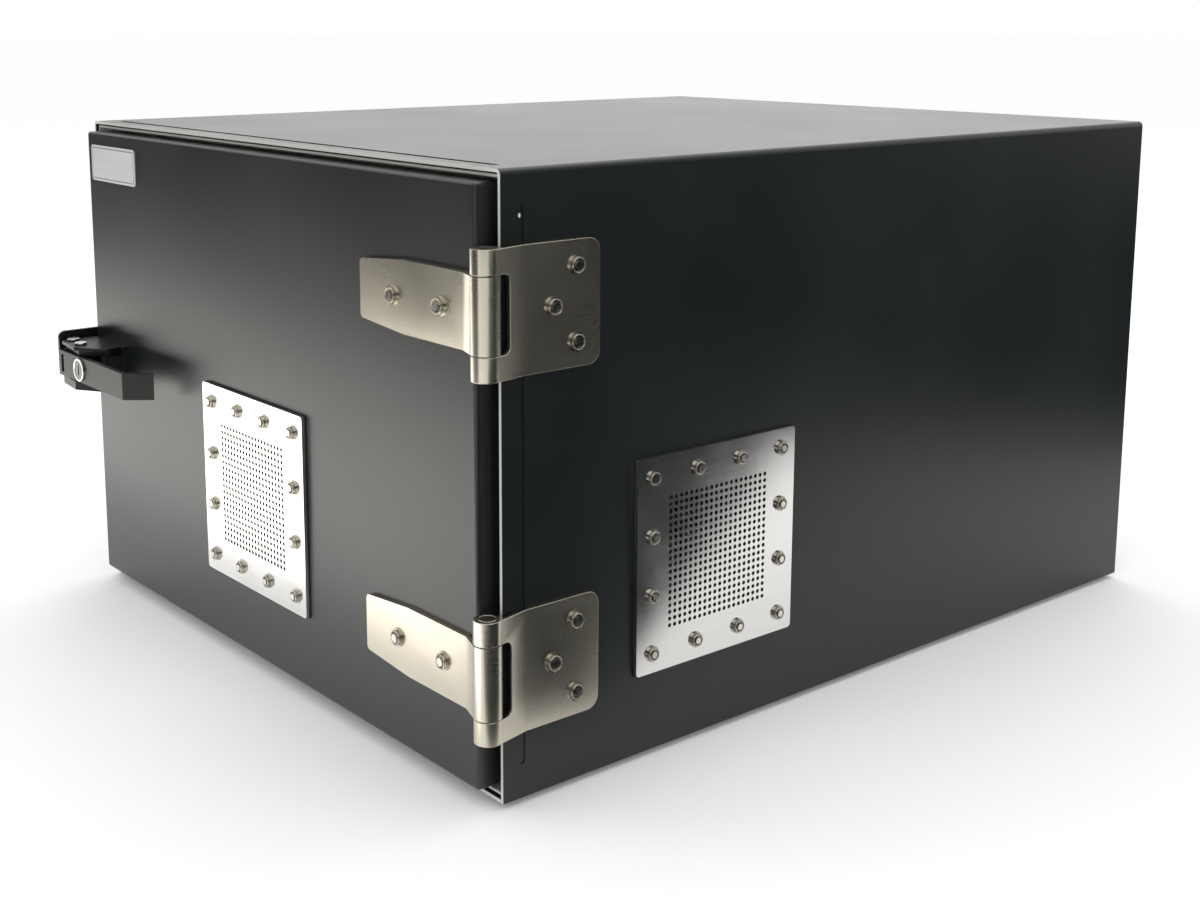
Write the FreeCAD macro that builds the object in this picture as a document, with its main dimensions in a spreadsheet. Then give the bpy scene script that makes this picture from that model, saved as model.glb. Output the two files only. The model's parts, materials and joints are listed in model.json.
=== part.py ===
import FreeCAD
import Part
import math
import os
import re
import Sketcher

# A bench-top shielded equipment enclosure: a folded steel case with a side-hinged
# door, two perforated vents, an over-centre door latch with a lock, and foam lining.
# Origin: middle of the overall footprint, lever and rear ports included, on the surface
# it stands on. +Z up, door on -Y, hinges on +X, latch on -X. All sizes in millimetres.

SIZES = [
    ("case_width", 500, "outside width of the case"),
    ("case_depth", 600, "outside depth of the case"),
    ("case_height", 350, "outside height of the case without feet"),
    ("wall", 2, "thickness of case and door sheet"),
    ("bend_radius", 1.5, "inside radius of the folded corners"),
    ("foot_height", 4, "thickness of the rubber feet"),
    ("foot_radius", 14, "radius of the rubber feet"),
    ("foot_inset", 45, "foot centre in from the case edges"),
    ("swage_setback", 13, "pressed groove centre behind the case front edge"),
    ("swage_width", 4.5, "width of the pressed groove"),
    ("swage_depth", 0.6, "depth of the pressed groove"),
    ("swage_margin", 22, "end of the pressed groove short of the case edges"),
    ("lip_gap", 1.2, "open gap between the case wall and the frame flange"),
    ("frame_sheet", 1.5, "thickness of the door frame"),
    ("frame_start", 2, "frame flange behind the case front edge"),
    ("frame_reach", 26, "frame web inwards from the case wall"),
    ("gasket_width", 12, "width of the door gasket"),
    ("gasket_inset", 10, "gasket outer edge in from the case wall"),
    ("gasket_depth", 3.7, "thickness of the door gasket"),
    ("seal_gap", 0.3, "door to gasket gap when closed"),
    ("door_barrel_gap", 1, "door edge to the hinge barrel"),
    ("door_end_gap", 7, "door edge in from case top and bottom"),
    ("door_proud", 10, "door face ahead of the case front edge"),
    ("door_depth", 20, "depth of the door pan"),
    ("door_edge_radius", 2.5, "outside radius of the door folds"),
    ("liner_sheet", 1.5, "thickness of the door liner"),
    ("foam", 25, "thickness of the absorber foam"),
    ("foam_gap", 0.3, "clearance round the foam"),
    ("foam_setback", 70, "front of the foam behind the case front edge"),
    ("foam_opening", 5, "foam opening beyond the vent or port plate"),
    ("door_foam_inset", 36, "door foam edge in from the door edge"),
    ("vent_size", 130, "side of the square vent plate"),
    ("vent_sheet", 2, "thickness of the vent plate"),
    ("vent_corner", 2.5, "corner radius of the vent plate"),
    ("vent_seal", 1, "thickness of the vent gasket"),
    ("vent_land", 23, "opening behind the vent, in from the plate edge"),
    ("vent_screw_inset", 12, "vent screws in from the plate edge"),
    ("vent_hole", 2.5, "diameter of a vent perforation"),
    ("vent_field", 78, "first to last perforation, centre to centre"),
    ("vent_hole_count", 20, "perforations along one side"),
    ("vent_seal_overhang", 2, "vent gasket inwards of the opening behind it"),
    ("core_gap", 0.3, "gap between the vent core and its opening"),
    ("core_depth", 10, "thickness of the vent core"),
    ("core_cell", 5.2, "cell diameter of the vent core"),
    ("core_field", 72, "first to last cell, centre to centre"),
    ("core_cell_count", 13, "cells along one side"),
    ("side_vent_setback", 160, "side vent centre behind the case front edge"),
    ("side_vent_height", 114, "side vent centre above the case bottom"),
    ("door_vent_height", 120, "door vent centre above the case bottom"),
    ("hinge_length", 70, "length of a hinge along its pin"),
    ("hinge_margin", 75, "hinge centres from the case bottom and top"),
    ("barrel_radius", 8, "outside radius of the hinge knuckles"),
    ("pin_radius", 5, "radius of the hinge pin"),
    ("pin_clearance", 0.05, "radial running clearance of pins and the lock plug"),
    ("knuckle", 41.5, "length of the middle knuckle"),
    ("knuckle_gap", 0.5, "gap between knuckles, with a thrust washer in it"),
    ("thrust_sheet", 0.4, "thickness of the thrust washers"),
    ("thrust_inset", 0.4, "rim of a thrust washer in from the barrel"),
    ("notch_gap", 4, "case leaf notch beyond the barrel"),
    ("notch_round", 4, "corner radius of the case leaf notch"),
    ("door_leaf_lap", 0.5, "door leaf joint in from the front of the barrel"),
    ("leaf_sheet", 3, "thickness of the hinge leaves"),
    ("case_leaf_start", 14, "fold of the case leaf behind the case front edge"),
    ("case_leaf_end", 66, "rear edge of the case leaf behind the case front edge"),
    ("case_leaf_corner", 8, "corner radius of the case leaf"),
    ("case_screw_near", 33, "middle case screw behind the case front edge"),
    ("case_screw_far", 49, "outer case screws behind the case front edge"),
    ("case_screw_rise", 21, "outer case screws above and below the hinge centre"),
    ("door_leaf_reach", 115, "free end of the door leaf from the pin"),
    ("door_leaf_fold", 16, "fold of the door leaf from the pin"),
    ("door_leaf_flare", 72, "point where the door leaf is full height, from the pin"),
    ("door_leaf_end", 34, "height of the door leaf at its free end"),
    ("door_screw_near", 37, "inner door screw from the pin"),
    ("door_screw_far", 82, "outer door screw from the pin"),
    ("latch_drop", 3, "middle of the latch below the middle of the case"),
    ("wing_sheet", 6, "thickness of the latch housing wings"),
    ("wing_cover", 2.5, "thickness of the cover plate on the upper wing"),
    ("wing_overhang", 2.5, "cover plate ahead of the wing under it"),
    ("wing_reach", 30, "latch housing wings ahead of the door face"),
    ("wing_left_step", 1, "front left corner of a wing in from its root"),
    ("wing_left_back", 3, "front left corner of a wing behind its front edge"),
    ("wing_front_length", 30, "front edge of a wing, from the left edge of the housing"),
    ("wing_right_rise", 15, "front right corner of a wing ahead of the door face"),
    ("wing_root_step", 4, "right end of a wing root in from the housing edge"),
    ("wing_round", 1.5, "corner radius of the wings"),
    ("latch_plate", 3, "thickness of the latch mounting plate"),
    ("latch_left", 244, "left edge of the latch housing from the case centre"),
    ("latch_length", 54, "length of the latch housing"),
    ("latch_screw_near", 17, "outer latch screw from the left edge of the housing"),
    ("latch_screw_far", 29.5, "inner latch screw from the left edge of the housing"),
    ("post_length", 18, "length of the post between the wings"),
    ("post_rise", 16, "post between the wings, ahead of the door face"),
    ("lever_height", 19, "height of the lever"),
    ("lever_clearance", 0.5, "gap between the lever and each wing"),
    ("lever_sheet", 4, "thickness of the lever"),
    ("lever_face", 29, "lever front ahead of the door face"),
    ("lever_left", 245.5, "left end of the lever from the case centre"),
    ("lever_bend", 135, "bend of the lever from the case centre"),
    ("lever_tip", 121.5, "right tip of the lever from the case centre"),
    ("lever_tip_rise", 11.5, "back of the lever tip ahead of the door face"),
    ("lever_hub_radius", 7, "radius of the lever hub"),
    ("pivot_offset", 238, "lever pivot from the case centre"),
    ("pivot_rise", 20, "lever pivot ahead of the door face"),
    ("pivot_radius", 2.5, "radius of the lever pivot pin"),
    ("spacer_offset", 220, "spacer pin from the case centre"),
    ("spacer_rise", 22, "spacer pin ahead of the door face"),
    ("spacer_radius", 2, "radius of the spacer pin"),
    ("rivet_head", 4.5, "radius of the pin heads"),
    ("rivet_head_rise", 1.8, "height of the pin heads"),
    ("nose_width", 8, "width of the lever nose"),
    ("nose_gap", 0.3, "nose tip to keeper plate when closed"),
    ("nose_inset", 2.5, "nose in from the lever top and bottom"),
    ("recess_inset", 5, "lever recess from the left end of the lever"),
    ("recess_length", 4, "length of the lever recess"),
    ("recess_height", 13, "height of the lever recess"),
    ("recess_depth", 1.2, "depth of the lever recess"),
    ("keeper_sheet", 3, "thickness of the keeper plate"),
    ("keeper_front", 36, "keeper plate ahead of the case front edge"),
    ("keeper_back", 58, "keeper plate behind the case front edge"),
    ("keeper_top", 21.5, "top of the keeper plate above the latch middle"),
    ("keeper_bottom", 12, "bottom of the keeper plate below the latch middle"),
    ("keeper_corner", 5, "corner radius of the keeper plate"),
    ("keeper_slot", 10, "width of the keeper slot"),
    ("keeper_slot_inset", 1.5, "keeper slot in from the lever top and bottom"),
    ("keeper_screw_near", 12, "rear keeper screw from the rear edge of the keeper"),
    ("keeper_screw_far", 30, "front keeper screw from the rear edge of the keeper"),
    ("keeper_screw_rise", 4.75, "keeper screws above the latch middle"),
    ("lock_offset", 207, "lock centre from the case centre"),
    ("lock_radius", 8.5, "outside radius of the lock collar"),
    ("lock_sleeve", 8, "outside radius of the lock sleeve"),
    ("plug_radius", 7, "radius of the lock plug"),
    ("collar_rise", 1.5, "lock collar ahead of the lever"),
    ("sleeve_reach", 5, "lock sleeve behind the lever sheet"),
    ("plug_sink", 0.3, "lock plug face behind the collar face"),
    ("cam_setback", 6, "lock cam behind the lever sheet"),
    ("cam_width", 6, "width of the lock cam"),
    ("cam_length", 12, "length of the lock cam"),
    ("cam_sheet", 1.6, "thickness of the lock cam"),
    ("cam_drop", 9, "end of the lock cam below the lock centre"),
    ("key_slot_width", 1.4, "width of the key slot"),
    ("key_slot_length", 8, "length of the key slot"),
    ("key_slot_depth", 4, "depth of the key slot from the collar face"),
    ("badge_length", 72, "length of the blank name plate"),
    ("badge_width", 26, "height of the blank name plate"),
    ("badge_sheet", 1, "thickness of the blank name plate"),
    ("badge_corner", 3, "corner radius of the blank name plate"),
    ("badge_offset", 197, "name plate centre from the case centre"),
    ("badge_drop", 29, "name plate centre below the case top"),
    ("port_plate_length", 150, "length of the rear port plate"),
    ("port_plate_height", 80, "height of the rear port plate"),
    ("port_rise", 90, "rear port plate centre above the case bottom"),
    ("port_window_inset", 18, "opening behind the port plate, in from its edge"),
    ("port_screw_inset", 9, "port plate screws in from its edges"),
    ("port_lift", 12, "coaxial ports above the middle of their plate"),
    ("port_pitch", 26, "spacing of the coaxial ports"),
    ("port_radius", 5.5, "thread radius of the coaxial ports"),
    ("port_tail", 14, "length of the coaxial ports each side of the case back"),
    ("port_flange", 3, "flange of a coaxial port beyond its thread, and its thickness"),
    ("port_bore", 8, "depth of the socket in a coaxial port"),
    ("port_wall", 2, "wall of the socket in a coaxial port"),
    ("port_contact", 0.8, "radius of the contact in a coaxial port"),
    ("port_contact_length", 7, "length of the contact in a coaxial port"),
    ("port_nut", 3, "height of the coaxial port nuts"),
    ("port_nut_grip", 3.2, "corner of a port nut beyond the thread"),
    ("small_shank", 2, "shank radius of the vent screws"),
    ("small_head", 4.2, "head radius of the vent screws"),
    ("small_head_rise", 3.1, "head height of the vent screws"),
    ("small_length", 14, "length of the vent screws under the head"),
    ("small_nut", 3.2, "height of the vent nuts"),
    ("large_shank", 2.5, "shank radius of the hinge screws"),
    ("large_head", 4.9, "head radius of the hinge screws"),
    ("large_head_rise", 3.7, "head height of the hinge screws"),
    ("large_length", 14, "length of the hinge screws under the head"),
    ("large_nut", 4, "height of the hinge nuts"),
    ("hole_play", 0.2, "screw hole beyond the screw shank"),
    ("washer_play", 0.15, "washer bore beyond the screw shank"),
    ("washer_sheet", 1.2, "thickness of the plain washers"),
    ("spring_sheet", 1.6, "thickness of the spring lock washers"),
    ("spring_split", 0.8, "gap in the spring lock washers"),
]

# Places used by several pieces, as formulas of the sheet's names.
SIDE = "(case_width / 2)"
OFFSET = "((door_proud + lever_face + collar_rise - port_tail) / 2)"
FRONT = f"(-case_depth / 2 + {OFFSET})"
BACK = f"(case_depth / 2 + {OFFSET})"
BASE = "foot_height"
ROOF = "(foot_height + case_height)"
DOOR_FACE = f"({FRONT} - door_proud)"
DOOR_REAR = f"({FRONT} - door_proud + door_depth)"
DOOR_SIDE = "(case_width / 2 - barrel_radius - door_barrel_gap)"
DOOR_BOTTOM = "(foot_height + door_end_gap)"
DOOR_HEIGHT = "(case_height - 2 * door_end_gap)"
WEB_FRONT = f"({DOOR_REAR} + seal_gap + gasket_depth)"
LATCH_Z = "(foot_height + case_height / 2 - latch_drop)"
WING_GAP = "(lever_height + 2 * lever_clearance)"
VENT_WINDOW = "(vent_size - 2 * vent_land)"
VENT_SPAN = "(vent_size - 2 * vent_screw_inset)"
LATCH_HEIGHT = f"({WING_GAP} + 2 * wing_sheet)"

# Reach of the cutting tools: past the faces they leave, and through any screwed stack.
OVER = "1"
DRILL = "8"
DOME = "1.35"               # screw head dome, in head radii
CROSS_ARM = "0.55"          # screw recess arm and depth, in head sizes
CROSS_SLOT = "0.22"         # screw recess width, in head radii
WASHER_RIM = 1.12           # washer rims, in head radii
SPRING_RIM = 0.92
NUT_CORNER = "2"            # nut corner, in shank radii

doc = FreeCAD.newDocument("shielded_enclosure")
sheet = doc.addObject("Spreadsheet::Sheet", "Sizes")
ALIASES = {alias for alias, amount, note in SIZES}
kept = []


def fill_sheet():
    """Write every driving dimension into the sheet and name its cell."""
    for row, (alias, amount, note) in enumerate(SIZES, start=1):
        sheet.set(f"A{row}", note)
        sheet.set(f"B{row}", str(amount))
        sheet.setAlias(f"B{row}", alias)
    doc.recompute()


def ref(formula):
    """Point the names in a formula at the sheet."""
    def lookup(match):
        word = match.group(0)
        return f"Sizes.{word}" if word in ALIASES else word
    return re.sub(r"[a-z_]+", lookup, str(formula))


def bind(thing, **formulas):
    """Tie properties of an object to formulas of the sheet."""
    for name, formula in formulas.items():
        thing.setExpression(name, ref(formula))
    return thing


def at(thing, x, y, z):
    """Tie an object's place to formulas of the sheet."""
    thing.setExpression("Placement.Base.x", ref(x))
    thing.setExpression("Placement.Base.y", ref(y))
    thing.setExpression("Placement.Base.z", ref(z))
    return thing


def keep(thing, label):
    """Make an object a sub-part of the enclosure under its own label."""
    thing.Label = label
    kept.append(thing)
    return thing


# ---------------------------------------------------------------- building blocks

TURNS = {
    "+x": FreeCAD.Rotation(FreeCAD.Vector(0, 1, 0), 90),
    "-x": FreeCAD.Rotation(FreeCAD.Vector(0, 1, 0), -90),
    "+y": FreeCAD.Rotation(FreeCAD.Vector(1, 0, 0), -90),
    "-y": FreeCAD.Rotation(FreeCAD.Vector(1, 0, 0), 90),
    "+z": FreeCAD.Rotation(),
    "-z": FreeCAD.Rotation(FreeCAD.Vector(1, 0, 0), 180),
}


def block(x, y, z, length, depth, height):
    """A box from its low corner."""
    solid = doc.addObject("Part::Box", "Block")
    bind(solid, Length=length, Width=depth, Height=height)
    return at(solid, x, y, z)


def rod(x, y, z, way, radius, length):
    """A round bar that starts at a point and runs one way."""
    solid = doc.addObject("Part::Cylinder", "Rod")
    solid.Placement.Rotation = TURNS[way]
    bind(solid, Radius=radius, Height=length)
    return at(solid, x, y, z)


def join(parts):
    """Fuse several solids into one."""
    fused = doc.addObject("Part::MultiFuse", "Joined")
    fused.Shapes = parts
    return fused


def cut(base, tools):
    """Take tools away from a solid."""
    taken = doc.addObject("Part::Cut", "Cut")
    taken.Base = base
    taken.Tool = tools[0] if len(tools) == 1 else join(tools)
    return taken


def hole(x, y, z, way, radius, length):
    """A round tool that starts before a face, cuts a length behind it and runs past its end."""
    spot = {"x": x, "y": y, "z": z}
    back = {"+": "-", "-": "+"}[way[0]]
    spot[way[1]] = f"{spot[way[1]]} {back} {OVER}"
    return rod(spot["x"], spot["y"], spot["z"], way, radius, f"({length}) + 2 * {OVER}")


def ring(x, z, y, length, height, depth, rim):
    """A rectangular ring seen from the front, centred on x, with its low edge at z."""
    outer = block(f"{x} - ({length}) / 2", y, z, length, depth, height)
    inner = block(f"{x} - ({length}) / 2 + ({rim})", f"{y} - {OVER}", f"{z} + ({rim})",
                  f"({length}) - 2 * ({rim})", f"({depth}) + 2 * {OVER}", f"({height}) - 2 * ({rim})")
    return cut(outer, [inner])


def group_of(solids):
    """Several separate solids that make one sub-part."""
    group = doc.addObject("Part::Compound", "Group")
    group.Links = solids
    return group


def new_body(name):
    return doc.addObject("PartDesign::Body", name)


def plane_of(body, role):
    """One of a body's own origin planes."""
    for feature in body.Origin.OriginFeatures:
        if feature.Role == role:
            return feature
    raise ValueError(role)


def new_sketch(body, role, offset="0"):
    """An empty sketch on one of a body's origin planes, moved along its normal."""
    sketch = body.newObject("Sketcher::SketchObject", "Sketch")
    sketch.AttachmentSupport = (plane_of(body, role), [""])
    sketch.MapMode = "FlatFace"
    sketch.setExpression("AttachmentOffset.Base.z", ref(offset))
    return sketch


def pin_point(sketch, edge, end, name, x, y):
    """Fix one end or centre of a sketch edge at a formula place."""
    sketch.addConstraint(Sketcher.Constraint("DistanceX", -1, 1, edge, end, 1.0))
    sketch.renameConstraint(sketch.ConstraintCount - 1, f"{name}_x")
    sketch.addConstraint(Sketcher.Constraint("DistanceY", -1, 1, edge, end, 1.0))
    sketch.renameConstraint(sketch.ConstraintCount - 1, f"{name}_y")
    sketch.setExpression(f"Constraints.{name}_x", ref(x))
    sketch.setExpression(f"Constraints.{name}_y", ref(y))


def draw_outline(sketch, points):
    """A closed outline of straight edges through formula points."""
    count = len(points)
    corners = [FreeCAD.Vector(10 * math.cos(2 * math.pi * i / count),
                              10 * math.sin(2 * math.pi * i / count), 0) for i in range(count)]
    for i in range(count):
        sketch.addGeometry(Part.LineSegment(corners[i], corners[(i + 1) % count]), False)
    for i in range(count):
        sketch.addConstraint(Sketcher.Constraint("Coincident", i, 2, (i + 1) % count, 1))
    for i, (x, y) in enumerate(points):
        pin_point(sketch, i, 1, f"corner{i}", x, y)


def draw_circles(sketch, centres, radius):
    """Circles of one radius at formula places."""
    for i, (x, y) in enumerate(centres):
        spot = FreeCAD.Vector(3 * i + 1, 1, 0)
        edge = sketch.addGeometry(Part.Circle(spot, FreeCAD.Vector(0, 0, 1), 1), False)
        sketch.addConstraint(Sketcher.Constraint("Radius", edge, 1.0))
        sketch.renameConstraint(sketch.ConstraintCount - 1, f"radius{i}")
        sketch.setExpression(f"Constraints.radius{i}", ref(radius))
        pin_point(sketch, edge, 3, f"centre{i}", x, y)


def pad(body, sketch, length, reverse=False):
    """Raise a sketch into a solid along its normal, or against it."""
    feature = body.newObject("PartDesign::Pad", "Pad")
    feature.Profile = sketch
    feature.Reversed = reverse
    bind(feature, Length=length)
    body.Tip = feature
    return feature


def pocket(body, sketch, length, reverse=False):
    """Cut a sketch into a solid and make sure that it removed material."""
    doc.recompute()
    before = body.Shape.Volume
    feature = body.newObject("PartDesign::Pocket", "Pocket")
    feature.Profile = sketch
    feature.Reversed = reverse
    bind(feature, Length=length)
    body.Tip = feature
    doc.recompute()
    if body.Shape.Volume > before - 0.01:
        raise ValueError(f"{body.Name}: a pocket removed nothing")
    return feature


def edges_along(shape, axis, test):
    """Names of the straight edges along an axis whose middle passes a test."""
    found = []
    for i, edge in enumerate(shape.Edges, start=1):
        if len(edge.Vertexes) < 2:
            continue
        run = edge.Vertexes[1].Point - edge.Vertexes[0].Point
        if abs(run.Length - edge.Length) < 1e-6 and run.Length - abs(run.dot(axis)) < 1e-6:
            if test(edge.CenterOfMass):
                found.append(f"Edge{i}")
    return found


def face_edges(shape, face_y):
    """Names of all edges that lie in the front face at face_y."""
    return [f"Edge{i}" for i, edge in enumerate(shape.Edges, start=1)
            if edge.BoundBox.YMax - face_y < 1e-4]


def round_edges(body, axis, radius, test):
    """Fillet the body's straight edges along an axis that pass a test."""
    doc.recompute()
    base = body.Tip
    feature = body.newObject("PartDesign::Fillet", "Round")
    feature.Base = (base, edges_along(base.Shape, axis, test))
    bind(feature, Radius=radius)
    body.Tip = feature
    return feature


X_AXIS = FreeCAD.Vector(1, 0, 0)
Y_AXIS = FreeCAD.Vector(0, 1, 0)
Z_AXIS = FreeCAD.Vector(0, 0, 1)


def panel_xz(name, points, face, sheet_size, corner=None):
    """A flat sheet in the XZ plane: its front at face, its thickness running to +Y."""
    body = new_body(name)
    sketch = new_sketch(body, "XZ_Plane", f"-({face})")
    draw_outline(sketch, points)
    pad(body, sketch, sheet_size, reverse=True)
    if corner:
        round_edges(body, Y_AXIS, corner, lambda middle: True)
    return body


def square_points(x, z, side):
    """Corner formulas of a square centred on a point."""
    half = f"({side}) / 2"
    return [(f"{x} - {half}", f"{z} - {half}"), (f"{x} + {half}", f"{z} - {half}"),
            (f"{x} + {half}", f"{z} + {half}"), (f"{x} - {half}", f"{z} + {half}")]


# ---------------------------------------------------------------- fasteners

def screw_master(size):
    """A pan-head screw with a cross recess: head up, seat at z = 0."""
    head = rod("0", "0", "0", "+z", f"{size}_head", f"{size}_head_rise")
    dome = doc.addObject("Part::Sphere", "Dome")
    bind(dome, Radius=f"{size}_head * {DOME}")
    at(dome, "0", "0", f"{size}_head_rise - {size}_head * {DOME}")
    rounded = doc.addObject("Part::MultiCommon", "Rounded")
    rounded.Shapes = [head, dome]
    shank = rod("0", "0", "0", "-z", f"{size}_shank", f"{size}_length")
    arm = f"{size}_head * {CROSS_ARM}"
    slot = f"{size}_head * {CROSS_SLOT}"
    deep = f"{size}_head_rise * {CROSS_ARM}"
    bar = block(f"-{arm}", f"-{slot} / 2", f"{size}_head_rise - {deep}",
                f"2 * {arm}", slot, f"{size}_head_rise")
    cross = block(f"-{slot} / 2", f"-{arm}", f"{size}_head_rise - {deep}",
                  slot, f"2 * {arm}", f"{size}_head_rise")
    return cut(join([rounded, shank]), [bar, cross])


def washer_master(size, sheet_name, outer, split):
    """A plain washer, or a spring washer when it is split."""
    disc = rod("0", "0", "0", "+z", f"{size}_head * {outer}", sheet_name)
    tools = [hole("0", "0", "0", "+z", f"{size}_shank + washer_play", sheet_name)]
    if split:
        tools.append(block("0", "-spring_split / 2", f"-{OVER}",
                           f"2 * {size}_head", "spring_split", f"{sheet_name} + 2 * {OVER}"))
    return cut(disc, tools)


def nut_master(size):
    """A hexagon nut whose bearing face is at z = 0 and which runs down from it."""
    prism = doc.addObject("Part::Prism", "Hexagon")
    prism.Polygon = 6
    bind(prism, Circumradius=f"{size}_shank * {NUT_CORNER}", Height=f"{size}_nut")
    at(prism, "0", "0", f"-{size}_nut")
    return cut(prism, [hole("0", "0", "0", "-z", f"{size}_shank", f"{size}_nut")])


def fastener_masters(size):
    """The four pieces of one fastener size, drawn once."""
    return {
        "screws": screw_master(size),
        "spring_washers": washer_master(size, "spring_sheet", SPRING_RIM, True),
        "washers": washer_master(size, "washer_sheet", WASHER_RIM, False),
        "nuts": nut_master(size),
    }


def lifted(places, way, lift):
    """Copy places, moved along the way they look, and note that way."""
    moved = []
    for x, y, z in places:
        spot = {"x": x, "y": y, "z": z}
        spot[way[1]] = f"{spot[way[1]]} {way[0]} ({lift})"
        moved.append((spot["x"], spot["y"], spot["z"], way))
    return moved


def group_copies(master, places, label):
    """One sub-part of separate solids: a copy of the master at each place."""
    links = []
    for x, y, z, way in places:
        link = doc.addObject("App::Link", "Copy")
        link.LinkedObject = master
        link.Placement.Rotation = TURNS[way]
        links.append(at(link, x, y, z))
    return keep(group_of(links), label)


def fasten(label, masters, washered, bare):
    """All fasteners of one size on one body. Each pattern is (places, way, grip), places on its
    outer face. Washered ones carry a plain and a spring washer, and all have a nut behind."""
    washers, springs, screws, nuts = [], [], [], []
    for places, way, grip in washered:
        washers += lifted(places, way, "0")
        springs += lifted(places, way, "washer_sheet")
        screws += lifted(places, way, "washer_sheet + spring_sheet")
        nuts += lifted(places, way, f"-({grip})")
    for places, way, grip in bare:
        screws += lifted(places, way, "0")
        nuts += lifted(places, way, f"-({grip})")
    group_copies(masters["washers"], washers, f"{label}_washers")
    group_copies(masters["spring_washers"], springs, f"{label}_spring_washers")
    group_copies(masters["screws"], screws, f"{label}_screws")
    group_copies(masters["nuts"], nuts, f"{label}_nuts")


def clearance_holes(places, way, size):
    """Drills for a fastener pattern, started outside and run inwards."""
    back = {"+": "-", "-": "+"}[way[0]] + way[1]
    return [hole(x, y, z, back, f"{size}_shank + hole_play", DRILL) for x, y, z in places]


# ---------------------------------------------------------------- patterns of places

def vent_screw_places(centre):
    """Twelve screw places round a vent, as steps from its centre along its two sides."""
    across, up = centre
    count = 4
    step = f"({VENT_SPAN} / {count - 1})"
    half = f"({VENT_SPAN} / 2)"
    places = []
    for i in range(count):
        for j in range(count):
            if i in (0, count - 1) or j in (0, count - 1):
                places.append((f"{across} - {half} + {i} * {step}", f"{up} - {half} + {j} * {step}"))
    return places


SIDE_VENT = (f"({FRONT} + side_vent_setback)", "(foot_height + side_vent_height)")
DOOR_VENT = ("0", "(foot_height + door_vent_height)")
SIDE_VENT_SCREWS = [(f"{SIDE} + vent_seal + vent_sheet", y, z) for y, z in vent_screw_places(SIDE_VENT)]
DOOR_VENT_SCREWS = [(x, f"{DOOR_FACE} - vent_seal - vent_sheet", z) for x, z in vent_screw_places(DOOR_VENT)]
HINGES = {"lower": f"({BASE} + hinge_margin)", "upper": f"({ROOF} - hinge_margin)"}


def case_hinge_screws(middle):
    """Three screw places of a case leaf, on its outer face."""
    face = f"{SIDE} + leaf_sheet"
    return [(face, f"{FRONT} + case_screw_near", middle),
            (face, f"{FRONT} + case_screw_far", f"{middle} - case_screw_rise"),
            (face, f"{FRONT} + case_screw_far", f"{middle} + case_screw_rise")]


def door_hinge_screws(middle):
    """Two screw places of a door leaf, on its outer face."""
    face = f"{DOOR_FACE} - leaf_sheet"
    return [(f"{SIDE} - door_screw_near", face, middle), (f"{SIDE} - door_screw_far", face, middle)]


CASE_HINGE_SCREWS = [spot for middle in HINGES.values() for spot in case_hinge_screws(middle)]
DOOR_HINGE_SCREWS = [spot for middle in HINGES.values() for spot in door_hinge_screws(middle)]
KEEPER_SCREWS = [
    (f"-{SIDE} - keeper_sheet", f"{FRONT} + keeper_back - {inset}", f"{LATCH_Z} + keeper_screw_rise")
    for inset in ("keeper_screw_far", "keeper_screw_near")]
LATCH_SCREWS = [(f"-latch_left + {inset}", f"{DOOR_FACE} - latch_plate", LATCH_Z)
                for inset in ("latch_screw_near", "latch_screw_far")]
PORT_PLATE_SCREWS = [(f"{side} (port_plate_length / 2 - port_screw_inset)", f"{BACK} + wall",
                      f"foot_height + port_rise {rise} (port_plate_height / 2 - port_screw_inset)")
                     for side in "+-" for rise in "+-"]
PORTS = [(f"({i} - 1.5) * port_pitch", BACK, "foot_height + port_rise + port_lift") for i in range(4)]


# ---------------------------------------------------------------- case

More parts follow.
